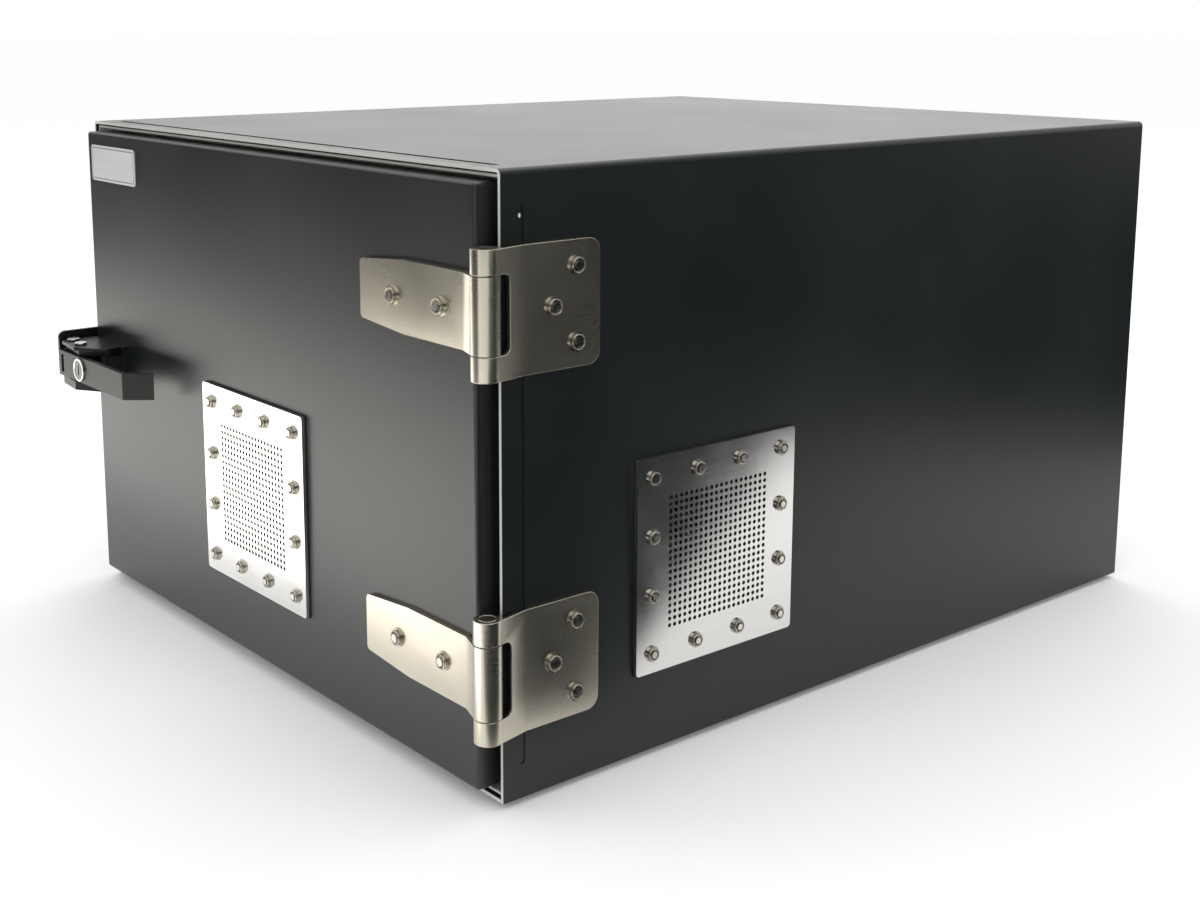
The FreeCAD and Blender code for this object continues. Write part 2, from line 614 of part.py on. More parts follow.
def build_case():
    """Wrap, base, back, door frame, gasket, foam lining and feet."""
    body = new_body("CaseWrap")
    sketch = new_sketch(body, "XZ_Plane", f"-{FRONT}")
    draw_outline(sketch, [
        (f"-{SIDE}", BASE), (f"-{SIDE}", ROOF), (SIDE, ROOF), (SIDE, BASE),
        (f"{SIDE} - wall", BASE), (f"{SIDE} - wall", f"{ROOF} - wall"),
        (f"-{SIDE} + wall", f"{ROOF} - wall"), (f"-{SIDE} + wall", BASE)])
    pad(body, sketch, "case_depth", reverse=True)
    doc.recompute()
    top = body.Shape.BoundBox.ZMax
    side = body.Shape.BoundBox.XMax
    round_edges(body, Y_AXIS, "bend_radius + wall",
                lambda middle: top - middle.z < 0.01 and side - abs(middle.x) < 0.01)
    inner_top = top - sheet.get("wall")
    inner_side = side - sheet.get("wall")
    round_edges(body, Y_AXIS, "bend_radius",
                lambda middle: abs(middle.z - inner_top) < 0.01 and abs(abs(middle.x) - inner_side) < 0.01)
    groove_y = f"{FRONT} + swage_setback"
    side_floor, roof_floor = f"{SIDE} - swage_depth", f"{ROOF} - swage_depth"
    low_end, high_end = f"{BASE} + swage_margin", f"{ROOF} - swage_margin"
    tools = [
        block(f"{SIDE} - wall - {OVER}", f"{SIDE_VENT[0]} - {VENT_WINDOW} / 2",
              f"{SIDE_VENT[1]} - {VENT_WINDOW} / 2", f"wall + 2 * {OVER}", VENT_WINDOW, VENT_WINDOW),
        block(side_floor, f"{groove_y} - swage_width / 2", low_end,
              f"swage_depth + {OVER}", "swage_width", "case_height - 2 * swage_margin"),
        block(f"-{SIDE} + swage_margin", f"{groove_y} - swage_width / 2", roof_floor,
              "case_width - 2 * swage_margin", "swage_width", f"swage_depth + {OVER}")]
    for end in (low_end, high_end):
        tools.append(rod(side_floor, groove_y, end, "+x", "swage_width / 2", f"swage_depth + {OVER}"))
    for end in (f"-{SIDE} + swage_margin", f"{SIDE} - swage_margin"):
        tools.append(rod(end, groove_y, roof_floor, "+z", "swage_width / 2", f"swage_depth + {OVER}"))
    tools += clearance_holes(SIDE_VENT_SCREWS, "+x", "small")
    tools += clearance_holes(CASE_HINGE_SCREWS, "+x", "large")
    tools += clearance_holes(KEEPER_SCREWS, "-x", "large")
    keep(cut(body, tools), "case_wrap")

    keep(block(f"-{SIDE} + wall", FRONT, BASE, "case_width - 2 * wall", "case_depth", "wall"), "case_base")

    back = block(f"-{SIDE} + wall", f"{BACK} - wall", f"{BASE} + wall",
                 "case_width - 2 * wall", "wall", "case_height - 2 * wall")
    window = block("-port_plate_length / 2 + port_window_inset", f"{BACK} - wall - {OVER}",
                   "foot_height + port_rise - port_plate_height / 2 + port_window_inset",
                   "port_plate_length - 2 * port_window_inset", f"wall + 2 * {OVER}",
                   "port_plate_height - 2 * port_window_inset")
    keep(cut(back, [window, body] + clearance_holes(PORT_PLATE_SCREWS, "+y", "small")), "case_back")

    web = ring("0", f"{BASE} + wall", WEB_FRONT, "case_width - 2 * wall",
               "case_height - 2 * wall", "frame_sheet", "frame_reach")
    flange = ring("0", f"{BASE} + wall + lip_gap", f"{FRONT} + frame_start",
                  "case_width - 2 * wall - 2 * lip_gap", "case_height - 2 * wall - 2 * lip_gap",
                  f"{WEB_FRONT} + frame_sheet - {FRONT} - frame_start", "frame_sheet")
    keep(cut(join([web, flange]), [body]), "door_frame")
    keep(ring("0", f"{BASE} + wall + gasket_inset", f"{DOOR_REAR} + seal_gap",
              "case_width - 2 * wall - 2 * gasket_inset", "case_height - 2 * wall - 2 * gasket_inset",
              "gasket_depth", "gasket_width"), "door_gasket")

    feet = [rod(f"{x} ({SIDE} - foot_inset)", y, "0", "+z", "foot_radius", "foot_height")
            for x in "-+" for y in (f"{FRONT} + foot_inset", f"{BACK} - foot_inset")]
    keep(group_of(feet), "feet")


def build_foam():
    """Absorber foam on the floor, roof, sides and back, each a plain slab."""
    inside = "(case_width / 2 - wall - foam_gap)"
    start = f"{FRONT} + foam_setback"
    run = "case_depth - foam_setback - wall - foam_gap"
    low = f"{BASE} + wall + foam_gap"
    high = f"{ROOF} - wall - foam_gap"
    keep(block(f"-{inside}", start, low, f"2 * {inside}", run, "foam"), "floor_foam")
    roof_side = f"({inside} - bend_radius)"
    keep(block(f"-{roof_side}", start, f"{high} - foam", f"2 * {roof_side}", run, "foam"), "roof_foam")
    rise = "case_height - 2 * wall - 4 * foam_gap - 2 * foam"
    lift = f"{low} + foam + foam_gap"
    keep(block(f"-{inside}", start, lift, "foam", run, rise), "left_foam")
    right = block(f"{inside} - foam", start, lift, "foam", run, rise)
    opening = "(vent_size + 2 * foam_opening)"
    window = block(f"{inside} - foam - {OVER}", f"{SIDE_VENT[0]} - {opening} / 2",
                   f"{SIDE_VENT[1]} - {opening} / 2", f"foam + 2 * {OVER}", opening, opening)
    keep(cut(right, [window]), "right_foam")
    side_gap = "(foam + foam_gap)"
    rear = block(f"-{inside} + {side_gap}", f"{BACK} - wall - foam_gap - foam", lift,
                 f"2 * ({inside} - {side_gap})", "foam", rise)
    port_window = block("-port_plate_length / 2 - foam_opening",
                        f"{BACK} - wall - foam_gap - foam - {OVER}",
                        "foot_height + port_rise - port_plate_height / 2 - foam_opening",
                        "port_plate_length + 2 * foam_opening", f"foam + 2 * {OVER}",
                        "port_plate_height + 2 * foam_opening")
    keep(cut(rear, [port_window]), "rear_foam")


# ---------------------------------------------------------------- door

def build_door():
    """Door pan, liner, foam and blank name plate."""
    body = new_body("DoorPan")
    sketch = new_sketch(body, "XZ_Plane", f"-{DOOR_FACE}")
    draw_outline(sketch, [
        (f"-{DOOR_SIDE}", DOOR_BOTTOM), (DOOR_SIDE, DOOR_BOTTOM),
        (DOOR_SIDE, f"{DOOR_BOTTOM} + {DOOR_HEIGHT}"), (f"-{DOOR_SIDE}", f"{DOOR_BOTTOM} + {DOOR_HEIGHT}")])
    pad(body, sketch, "door_depth", reverse=True)
    round_edges(body, Y_AXIS, "door_edge_radius", lambda middle: True)
    doc.recompute()
    folded = body.Tip
    rim = body.newObject("PartDesign::Fillet", "Rim")
    rim.Base = (folded, face_edges(folded.Shape, folded.Shape.BoundBox.YMin))
    bind(rim, Radius="door_edge_radius * 0.8")
    body.Tip = rim
    hollow = new_sketch(body, "XZ_Plane", f"-{DOOR_REAR}")
    draw_outline(hollow, [
        (f"-{DOOR_SIDE} + wall", f"{DOOR_BOTTOM} + wall"), (f"{DOOR_SIDE} - wall", f"{DOOR_BOTTOM} + wall"),
        (f"{DOOR_SIDE} - wall", f"{DOOR_BOTTOM} + {DOOR_HEIGHT} - wall"),
        (f"-{DOOR_SIDE} + wall", f"{DOOR_BOTTOM} + {DOOR_HEIGHT} - wall")])
    pocket(body, hollow, "door_depth - wall", reverse=True)
    opening = block(f"-{VENT_WINDOW} / 2", f"{DOOR_FACE} - {OVER}",
                    f"{DOOR_VENT[1]} - {VENT_WINDOW} / 2", VENT_WINDOW, f"wall + 2 * {OVER}", VENT_WINDOW)
    tools = [opening]
    tools += clearance_holes(DOOR_VENT_SCREWS, "-y", "small")
    tools += clearance_holes(DOOR_HINGE_SCREWS, "-y", "large")
    tools += clearance_holes(LATCH_SCREWS, "-y", "small")
    keep(cut(body, tools), "door_pan")

    liner = block(f"-{DOOR_SIDE} + wall", f"{DOOR_REAR} - liner_sheet", f"{DOOR_BOTTOM} + wall",
                  f"2 * {DOOR_SIDE} - 2 * wall", "liner_sheet", f"{DOOR_HEIGHT} - 2 * wall")
    window = block(f"-{VENT_WINDOW} / 2", f"{DOOR_REAR} - liner_sheet - {OVER}",
                   f"{DOOR_VENT[1]} - {VENT_WINDOW} / 2",
                   VENT_WINDOW, f"liner_sheet + 2 * {OVER}", VENT_WINDOW)
    keep(cut(liner, [window]), "door_liner")
    foam = block(f"-{DOOR_SIDE} + door_foam_inset", f"{DOOR_REAR} + foam_gap",
                 f"{DOOR_BOTTOM} + door_foam_inset", f"2 * {DOOR_SIDE} - 2 * door_foam_inset",
                 "foam", f"{DOOR_HEIGHT} - 2 * door_foam_inset")
    foam_window = block(f"-{VENT_WINDOW} / 2", f"{DOOR_REAR} + foam_gap - {OVER}",
                        f"{DOOR_VENT[1]} - {VENT_WINDOW} / 2",
                        VENT_WINDOW, f"foam + 2 * {OVER}", VENT_WINDOW)
    keep(cut(foam, [foam_window]), "door_foam")

    left, right = "(-badge_offset - badge_length / 2)", "(-badge_offset + badge_length / 2)"
    low, high = f"({ROOF} - badge_drop - badge_width / 2)", f"({ROOF} - badge_drop + badge_width / 2)"
    badge = panel_xz("Badge", [(left, low), (right, low), (right, high), (left, high)],
                     f"{DOOR_FACE} - badge_sheet", "badge_sheet", "badge_corner")
    keep(badge, "name_plate")


# ---------------------------------------------------------------- vents

def perforated_square(name, side, sheet_size, corner, bore, field, count_name):
    """A square sheet on the XY plane with a square grid of round holes, centred, top at z = 0."""
    body = new_body(name)
    outline = new_sketch(body, "XY_Plane")
    draw_outline(outline, square_points("0", "0", side))
    pad(body, outline, sheet_size, reverse=True)
    if corner:
        round_edges(body, Z_AXIS, corner, lambda middle: True)
    row = new_sketch(body, "XY_Plane")
    count = int(sheet.get(count_name))
    pitch = f"({field} / ({count_name} - 1))"
    first = f"-{field} / 2"
    draw_circles(row, [(f"{first} + {i} * {pitch}", first) for i in range(count)], f"{bore} / 2")
    holes = pocket(body, row, f"{sheet_size} + {OVER}")
    rows = body.newObject("PartDesign::LinearPattern", "Rows")
    rows.Originals = [holes]
    rows.Direction = (row, ["V_Axis"])
    bind(rows, Length=field, Occurrences=count_name)
    body.Tip = rows
    return body


def place_square(body, centre, way, lift):
    """Stand a perforated square on a face: its top looks out, lifted off the face."""
    body.Placement.Rotation = TURNS[way]
    spot = {"x": centre[0], "y": centre[1], "z": centre[2]}
    spot[way[1]] = f"{spot[way[1]]} {way[0]} ({lift})"
    return at(body, spot["x"], spot["y"], spot["z"])


def build_vent(label, centre, way, screws):
    """Perforated plate, gasket and core of one vent. The centre is on the panel's face."""
    plate = perforated_square(f"Plate_{label}", "vent_size", "vent_sheet", "vent_corner",
                              "vent_hole", "vent_field", "vent_hole_count")
    place_square(plate, centre, way, "vent_seal + vent_sheet")
    keep(cut(plate, clearance_holes(screws, way, "small")), f"{label}_plate")
    core = perforated_square(f"Core_{label}", f"({VENT_WINDOW} - 2 * core_gap)", "core_depth", None,
                             "core_cell", "core_field", "core_cell_count")
    keep(place_square(core, centre, way, "0"), f"{label}_core")
    seal = new_body(f"Seal_{label}")
    outline = new_sketch(seal, "XY_Plane")
    draw_outline(outline, square_points("0", "0", "vent_size"))
    pad(seal, outline, "vent_seal", reverse=True)
    opening = new_sketch(seal, "XY_Plane")
    draw_outline(opening, square_points("0", "0", f"{VENT_WINDOW} - 2 * vent_seal_overhang"))
    pocket(seal, opening, f"vent_seal + {OVER}")
    place_square(seal, centre, way, "vent_seal")
    keep(cut(seal, clearance_holes(screws, way, "small")), f"{label}_gasket")


# ---------------------------------------------------------------- hinges

def build_hinge(end, middle):
    """One hinge: case leaf with two knuckles, door leaf with one, pin and thrust washers."""
    half = "(hinge_length / 2)"
    bore = "pin_radius + pin_clearance"
    reach = "(knuckle / 2 + knuckle_gap)"

    leaf = new_body(f"CaseLeaf_{end}")
    flat = new_sketch(leaf, "YZ_Plane", SIDE)
    near, far = f"{FRONT} + case_leaf_start", f"{FRONT} + case_leaf_end"
    draw_outline(flat, [(near, f"{middle} - {half}"), (far, f"{middle} - {half}"),
                        (far, f"{middle} + {half}"), (near, f"{middle} + {half}")])
    pad(leaf, flat, "leaf_sheet")
    doc.recompute()
    rear = leaf.Shape.BoundBox.YMax
    round_edges(leaf, X_AXIS, "case_leaf_corner", lambda spot: rear - spot.y < 0.01)
    slope = new_sketch(leaf, "XY_Plane", f"{middle} - {half}")
    draw_outline(slope, [(SIDE, near), (f"{SIDE} + leaf_sheet", near),
                         (f"{SIDE} + barrel_radius", DOOR_FACE),
                         (f"{SIDE} + barrel_radius - leaf_sheet", DOOR_FACE)])
    pad(leaf, slope, "hinge_length")
    barrel = rod(SIDE, DOOR_FACE, f"{middle} - {half}", "+z", "barrel_radius", "hinge_length")
    around = "(barrel_radius + notch_gap)"
    notch_x, notch_y = f"({SIDE} - {around})", f"({DOOR_FACE} - {around})"
    tools = [
        block(notch_x, notch_y, f"{middle} - {reach}",
              f"2 * {around}", f"2 * {around} - notch_round", f"2 * {reach}"),
        block(notch_x, notch_y, f"{middle} - {reach} + notch_round",
              f"2 * {around}", f"2 * {around}", f"2 * ({reach} - notch_round)")]
    for sign in "+-":
        corner = f"{middle} {sign} ({reach} - notch_round)"
        tools.append(rod(notch_x, f"{DOOR_FACE} + {around} - notch_round", corner,
                         "+x", "notch_round", f"2 * {around}"))
    tools.append(hole(SIDE, DOOR_FACE, f"{middle} - {half}", "+z", bore, "hinge_length"))
    tools += clearance_holes(case_hinge_screws(middle), "+x", "large")
    keep(cut(join([leaf, barrel]), tools), f"{end}_hinge_case_leaf")

    door = new_body(f"DoorLeaf_{end}")
    flap = new_sketch(door, "XZ_Plane", f"-{DOOR_FACE}")
    tip, flare, fold = f"{SIDE} - door_leaf_reach", f"{SIDE} - door_leaf_flare", f"{SIDE} - door_leaf_fold"
    draw_outline(flap, [(tip, f"{middle} - door_leaf_end / 2"), (flare, f"{middle} - knuckle / 2"),
                        (fold, f"{middle} - knuckle / 2"), (fold, f"{middle} + knuckle / 2"),
                        (flare, f"{middle} + knuckle / 2"), (tip, f"{middle} + door_leaf_end / 2")])
    pad(door, flap, "leaf_sheet")
    doc.recompute()
    left = door.Shape.BoundBox.XMin
    round_edges(door, Y_AXIS, "leaf_sheet", lambda spot: spot.x - left < 0.01)
    bend = new_sketch(door, "XY_Plane", f"{middle} - knuckle / 2")
    draw_outline(bend, [(fold, DOOR_FACE), (fold, f"{DOOR_FACE} - leaf_sheet"),
                        (f"{SIDE} - leaf_sheet", f"{DOOR_FACE} - barrel_radius + door_leaf_lap"),
                        (f"{SIDE} - leaf_sheet",
                         f"{DOOR_FACE} - barrel_radius + door_leaf_lap + leaf_sheet")])
    pad(door, bend, "knuckle")
    knuckle = rod(SIDE, DOOR_FACE, f"{middle} - knuckle / 2", "+z", "barrel_radius", "knuckle")
    tools = [hole(SIDE, DOOR_FACE, f"{middle} - {half}", "+z", bore, "hinge_length")]
    tools += clearance_holes(door_hinge_screws(middle), "-y", "large")
    keep(cut(join([door, knuckle]), tools), f"{end}_hinge_door_leaf")

    keep(rod(SIDE, DOOR_FACE, f"{middle} - {half}", "+z", "pin_radius", "hinge_length"), f"{end}_hinge_pin")
    washers = []
    for sign in "+-":
        seat = f"{middle} {sign} (knuckle / 2 + knuckle_gap / 2) - thrust_sheet / 2"
        disc = rod(SIDE, DOOR_FACE, seat, "+z", "barrel_radius - thrust_inset", "thrust_sheet")
        washers.append(cut(disc, [hole(SIDE, DOOR_FACE, seat, "+z", bore, "thrust_sheet")]))
    keep(group_of(washers), f"{end}_hinge_thrust_washers")


# ---------------------------------------------------------------- latch

def headed_pin(x, y, radius):
    """A pin through both wings with a low head above and below."""
    low, high = f"{LATCH_Z} - {LATCH_HEIGHT} / 2", f"{LATCH_Z} + {LATCH_HEIGHT} / 2"
    return join([
        rod(x, y, low, "+z", radius, LATCH_HEIGHT),
        rod(x, y, high, "+z", "rivet_head", "rivet_head_rise"),
        rod(x, y, low, "-z", "rivet_head", "rivet_head_rise")])


def wing_layer(lift, sheet_size, back):
    """One flat layer of a latch wing, its outline set back from the full outline."""
    left, right = f"(-latch_left + {back})", f"(-latch_left + latch_length - {back})"
    front = f"({DOOR_FACE} - wing_reach + {back})"
    layer = new_body("Wing")
    sketch = new_sketch(layer, "XY_Plane", lift)
    draw_outline(sketch, [
        (left, DOOR_FACE), (f"{left} + wing_left_step", f"{front} + wing_left_back"),
        (f"{left} + wing_front_length", front), (right, f"{DOOR_FACE} - wing_right_rise + {back}"),
        (f"{right} - wing_root_step", DOOR_FACE)])
    pad(layer, sketch, sheet_size)
    doc.recompute()
    root = layer.Shape.BoundBox.YMax
    round_edges(layer, Z_AXIS, "wing_round", lambda spot: root - spot.y > 1)
    return layer


def build_latch():
    """Housing on the door, lever on its pivot, lock in the lever, keeper plate on the case."""
    pivot = ("-pivot_offset", f"{DOOR_FACE} - pivot_rise")
    spacer = ("-spacer_offset", f"{DOOR_FACE} - spacer_rise")
    right = "(-latch_left + latch_length)"
    low_wing, high_wing = f"({LATCH_Z} - {LATCH_HEIGHT} / 2)", f"({LATCH_Z} + {WING_GAP} / 2)"
    wings = [wing_layer(low_wing, "wing_sheet", "0"),
             wing_layer(high_wing, "wing_sheet", "wing_overhang"),
             wing_layer(f"({high_wing} + wing_sheet - wing_cover)", "wing_cover", "0")]
    base = block("-latch_left", f"{DOOR_FACE} - latch_plate", low_wing,
                 "latch_length", "latch_plate", LATCH_HEIGHT)
    post = block(f"{right} - post_length", f"{DOOR_FACE} - post_rise", f"{LATCH_Z} - {WING_GAP} / 2",
                 "post_length - wing_overhang", "post_rise", WING_GAP)
    tools = [hole(pivot[0], pivot[1], low_wing, "+z", "pivot_radius", LATCH_HEIGHT),
             hole(spacer[0], spacer[1], low_wing, "+z", "spacer_radius", LATCH_HEIGHT)]
    tools += clearance_holes(LATCH_SCREWS, "-y", "small")
    keep(cut(join(wings + [base, post]), tools), "latch_housing")
    keep(headed_pin(pivot[0], pivot[1], "pivot_radius"), "latch_pivot_pin")
    keep(headed_pin(spacer[0], spacer[1], "spacer_radius"), "latch_spacer_pin")

    face = f"({DOOR_FACE} - lever_face)"
    low = f"({LATCH_Z} - lever_height / 2)"
    lever = new_body("Lever")
    sketch = new_sketch(lever, "XY_Plane", low)
    tip = f"{DOOR_FACE} - lever_tip_rise"
    draw_outline(sketch, [
        ("-lever_left", face), ("-lever_bend", face), ("-lever_tip", tip),
        ("-lever_tip - lever_sheet", tip), ("-lever_bend - lever_sheet / 2", f"{face} + lever_sheet"),
        ("-lever_left", f"{face} + lever_sheet")])
    pad(lever, sketch, "lever_height")
    hub = rod(pivot[0], pivot[1], low, "+z", "lever_hub_radius", "lever_height")
    tip_gap = f"({SIDE} - nose_gap)"
    nose = block(f"-{tip_gap}", f"{pivot[1]} - nose_width / 2", f"{low} + nose_inset",
                 f"{tip_gap} - pivot_offset", "nose_width", "lever_height - 2 * nose_inset")
    lock_face = ("-lock_offset", face, LATCH_Z)
    recess = block("-lever_left + recess_inset", f"{face} - {OVER}", f"{LATCH_Z} - recess_height / 2",
                   "recess_length", f"recess_depth + {OVER}", "recess_height")
    lever_tools = [hole(pivot[0], pivot[1], low, "+z", "pivot_radius + pin_clearance", "lever_height"),
                   hole(lock_face[0], face, lock_face[2], "+y", "lock_sleeve", "lever_sheet"), recess]
    keep(cut(join([lever, hub, nose]), lever_tools), "latch_lever")

    collar = rod(lock_face[0], face, lock_face[2], "-y", "lock_radius", "collar_rise")
    sleeve = rod(lock_face[0], face, lock_face[2], "+y", "lock_sleeve", "lever_sheet + sleeve_reach")
    bore = hole(lock_face[0], f"{face} - collar_rise", lock_face[2], "+y",
                "plug_radius + pin_clearance", "lever_sheet + collar_rise + sleeve_reach")
    keep(cut(join([collar, sleeve]), [bore]), "lock_collar")
    plug_face, cam_face = f"({face} - collar_rise + plug_sink)", f"({face} + lever_sheet + cam_setback)"
    plug = rod(lock_face[0], plug_face, lock_face[2], "+y", "plug_radius", f"{cam_face} - {plug_face}")
    key_slot = block("-lock_offset - key_slot_width / 2", f"{face} - collar_rise - {OVER}",
                     f"{LATCH_Z} - key_slot_length / 2",
                     "key_slot_width", f"key_slot_depth + {OVER}", "key_slot_length")
    keep(cut(plug, [key_slot]), "lock_plug")
    cam = block("-lock_offset - cam_width / 2", cam_face, f"{LATCH_Z} - cam_drop",
                "cam_width", "cam_sheet", "cam_length")
    keep(cam, "lock_cam")

    keeper = new_body("Keeper")
    sketch = new_sketch(keeper, "YZ_Plane", f"-{SIDE} - keeper_sheet")
    front, back = f"{FRONT} - keeper_front", f"{FRONT} + keeper_back"
    bottom, top = f"{LATCH_Z} - keeper_bottom", f"{LATCH_Z} + keeper_top"
    draw_outline(sketch, [(front, bottom), (back, bottom), (back, top), (front, top)])
    pad(keeper, sketch, "keeper_sheet")
    round_edges(keeper, X_AXIS, "keeper_corner", lambda spot: True)
    slot = block(f"-{SIDE} - keeper_sheet - {OVER}", f"{pivot[1]} - keeper_slot / 2",
                 f"{low} + keeper_slot_inset", f"keeper_sheet + 2 * {OVER}", "keeper_slot",
                 "lever_height - 2 * keeper_slot_inset")
    keep(cut(keeper, [slot] + clearance_holes(KEEPER_SCREWS, "-x", "large")), "latch_keeper")


# ---------------------------------------------------------------- rear ports

def build_ports():
    """Rear port plate with four coaxial feed-through connectors and their nuts."""
    low = "foot_height + port_rise - port_plate_height / 2"
    high = "foot_height + port_rise + port_plate_height / 2"
    half = "port_plate_length / 2"
    plate = panel_xz("PortPlate", [(f"-{half}", low), (half, low), (half, high), (f"-{half}", high)],
                     BACK, "wall", "vent_corner")
    tools = [hole(x, y, z, "+y", "port_radius", "wall") for x, y, z in PORTS]
    tools += clearance_holes(PORT_PLATE_SCREWS, "+y", "small")
    keep(cut(plate, tools), "port_plate")

    barrel = rod("0", "0", "-port_tail", "+z", "port_radius", "2 * port_tail")
    flange = rod("0", "0", "0", "-z", "port_radius + port_flange", "port_flange")
    bore = rod("0", "0", "port_tail - port_bore", "+z", "port_radius - port_wall", f"port_bore + {OVER}")
    core = cut(join([barrel, flange]), [bore])
    contact = rod("0", "0", f"port_tail - port_bore - {OVER}", "+z", "port_contact", "port_contact_length")
    group_copies(join([core, contact]), lifted(PORTS, "+y", "0"), "port_connectors")
    prism = doc.addObject("Part::Prism", "PortNut")
    prism.Polygon = 6
    bind(prism, Circumradius="port_radius + port_nut_grip", Height="port_nut")
    nut = cut(prism, [hole("0", "0", "0", "+z", "port_radius", "port_nut")])
    group_copies(nut, lifted(PORTS, "+y", "wall"), "port_nuts")


def check_document():
    """Stop if any object failed or any sub-part is not a sound shape."""
    doc.recompute()
    for thing in doc.Objects:
        if "Invalid" in thing.State or "Error" in thing.State:
            raise ValueError(f"{thing.Label} failed")
    for thing in kept:
        shape = thing.Shape
        if shape.isNull() or not shape.isValid() or not shape.Solids:
            raise ValueError(f"{thing.Label} has no sound shape")


def write_parts():
    """Write each sub-part to its own file."""
    os.makedirs("parts", exist_ok=True)
    for thing in kept:
        thing.Shape.exportStep(os.path.join("parts", f"{thing.Label}.step"))
    print(f"{len(kept)} sub-parts written")


fill_sheet()
build_case()
build_foam()
build_door()
build_vent("side_vent", (SIDE, SIDE_VENT[0], SIDE_VENT[1]), "+x", SIDE_VENT_SCREWS)
build_vent("door_vent", (DOOR_VENT[0], DOOR_FACE, DOOR_VENT[1]), "-y", DOOR_VENT_SCREWS)
for end, middle in HINGES.items():
    build_hinge(end, middle)
build_latch()
build_ports()
small = fastener_masters("small")
large = fastener_masters("large")
vent_grip = "vent_sheet + vent_seal + wall"
fasten("case_small", small, [(SIDE_VENT_SCREWS, "+x", vent_grip)],
       [(PORT_PLATE_SCREWS, "+y", "2 * wall")])
fasten("door_small", small, [(DOOR_VENT_SCREWS, "-y", vent_grip)],
       [(LATCH_SCREWS, "-y", "latch_plate + wall")])
fasten("case_large", large, [(CASE_HINGE_SCREWS, "+x", "leaf_sheet + wall"),
                             (KEEPER_SCREWS, "-x", "keeper_sheet + wall")], [])
fasten("door_large", large, [(DOOR_HINGE_SCREWS, "-y", "leaf_sheet + wall")], [])
check_document()
write_parts()
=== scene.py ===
# %% [markdown]
# # A shielded equipment enclosure
# This lesson dresses a finished design. The design arrives as a fixed frame: every part is already
# in its place, in metres, with +Z up, the door towards -Y, the hinges on +X and the latch on -X.
# What is left is what the eye sees: rounded edges, fasteners, foam, finishes, light and a camera.

# %% Load the frame
import json
import math

import bmesh
import bpy
from mathutils import Matrix, Vector


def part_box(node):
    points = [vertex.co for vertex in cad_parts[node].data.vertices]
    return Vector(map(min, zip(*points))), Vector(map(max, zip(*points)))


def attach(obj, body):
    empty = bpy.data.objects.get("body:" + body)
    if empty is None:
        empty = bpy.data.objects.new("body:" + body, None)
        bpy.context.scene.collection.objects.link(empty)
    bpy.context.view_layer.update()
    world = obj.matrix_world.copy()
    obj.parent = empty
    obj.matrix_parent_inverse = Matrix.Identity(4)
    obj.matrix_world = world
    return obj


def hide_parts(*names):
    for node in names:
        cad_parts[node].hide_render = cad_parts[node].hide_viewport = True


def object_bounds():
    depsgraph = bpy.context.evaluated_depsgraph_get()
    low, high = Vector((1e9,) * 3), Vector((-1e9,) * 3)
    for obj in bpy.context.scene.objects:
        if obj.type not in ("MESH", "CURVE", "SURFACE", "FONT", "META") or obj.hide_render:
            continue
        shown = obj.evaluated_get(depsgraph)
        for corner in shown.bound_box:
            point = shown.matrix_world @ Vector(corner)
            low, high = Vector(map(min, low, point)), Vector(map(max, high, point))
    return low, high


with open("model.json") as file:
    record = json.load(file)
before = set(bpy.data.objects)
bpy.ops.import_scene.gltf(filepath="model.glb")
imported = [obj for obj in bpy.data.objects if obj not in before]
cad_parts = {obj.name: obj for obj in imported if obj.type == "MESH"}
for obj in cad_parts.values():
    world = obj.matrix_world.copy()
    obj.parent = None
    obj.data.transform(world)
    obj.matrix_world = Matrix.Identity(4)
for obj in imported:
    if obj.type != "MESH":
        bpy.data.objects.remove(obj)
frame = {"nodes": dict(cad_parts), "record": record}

design_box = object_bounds()

# %% [markdown]
# ## Places
# A place that is worked out from the frame can't drift away from it. `node_box` gives a part's low
# and high corner, and `body_of` says which body a part moves with, so that what we add moves too.

# %% Places
MM = 0.001


def node_box(node):
    """Low and high corner of a part."""
    low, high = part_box(node)
    return Vector(low), Vector(high)


def body_of(node):
    """The body that a part moves with."""
    bodies = frame["record"]["behaviour"]["bodies"]
    return next(body for body, nodes in bodies.items() if node in nodes)


case_low, case_high = node_box("case_wrap")
door_low, door_high = node_box("door_pan")
case_size = case_high - case_low
print("case", [round(side / MM) for side in case_size], "mm")

# %% [markdown]
# ## Camera
# The enclosure is seen from its front right, from a little above its roof, through a short
# telephoto lens. The lens is shifted down a little, as a product photographer does to keep upright
# edges upright without tilting the camera far.

# %% Camera
CAMERA_AZIMUTH = math.radians(50.93)
CAMERA_ELEVATION = math.radians(9.94)
CAMERA_STEP = Vector((0.6616, -0.5043, 0.4275))   # from the case's lower front right corner
CAMERA_LENS = 48.7
CAMERA_SHIFT = (0.042, -0.125)


def set_camera():
    """Place the camera from the case's front right foot and aim it by azimuth and elevation."""
    corner = Vector((case_high.x, case_low.y, case_low.z))
    camera = bpy.data.objects.new("camera", bpy.data.cameras.new("camera"))
    camera.data.lens = CAMERA_LENS
    camera.data.sensor_width = 36
    camera.data.shift_x, camera.data.shift_y = CAMERA_SHIFT
    camera.data.clip_end = 60
    camera.location = corner + CAMERA_STEP
    camera.rotation_euler = (math.pi / 2 - CAMERA_ELEVATION, 0, CAMERA_AZIMUTH)
    bpy.context.scene.collection.objects.link(camera)
    bpy.context.scene.camera = camera
    return camera


camera = set_camera()
print("camera", tuple(round(value, 3) for value in camera.location))

# %% [markdown]
# ## Shader maths as sentences
# A finish is a small sum: "this colour, a little darker where the noise is high". Nodes written one
# by one hide that sum, so a `Signal` wraps one socket and gives it plus, minus, times and divide.
# A `Recipe` is one material, and its `add` makes any other node: first what the node is set to, and
# then what is plugged into it.

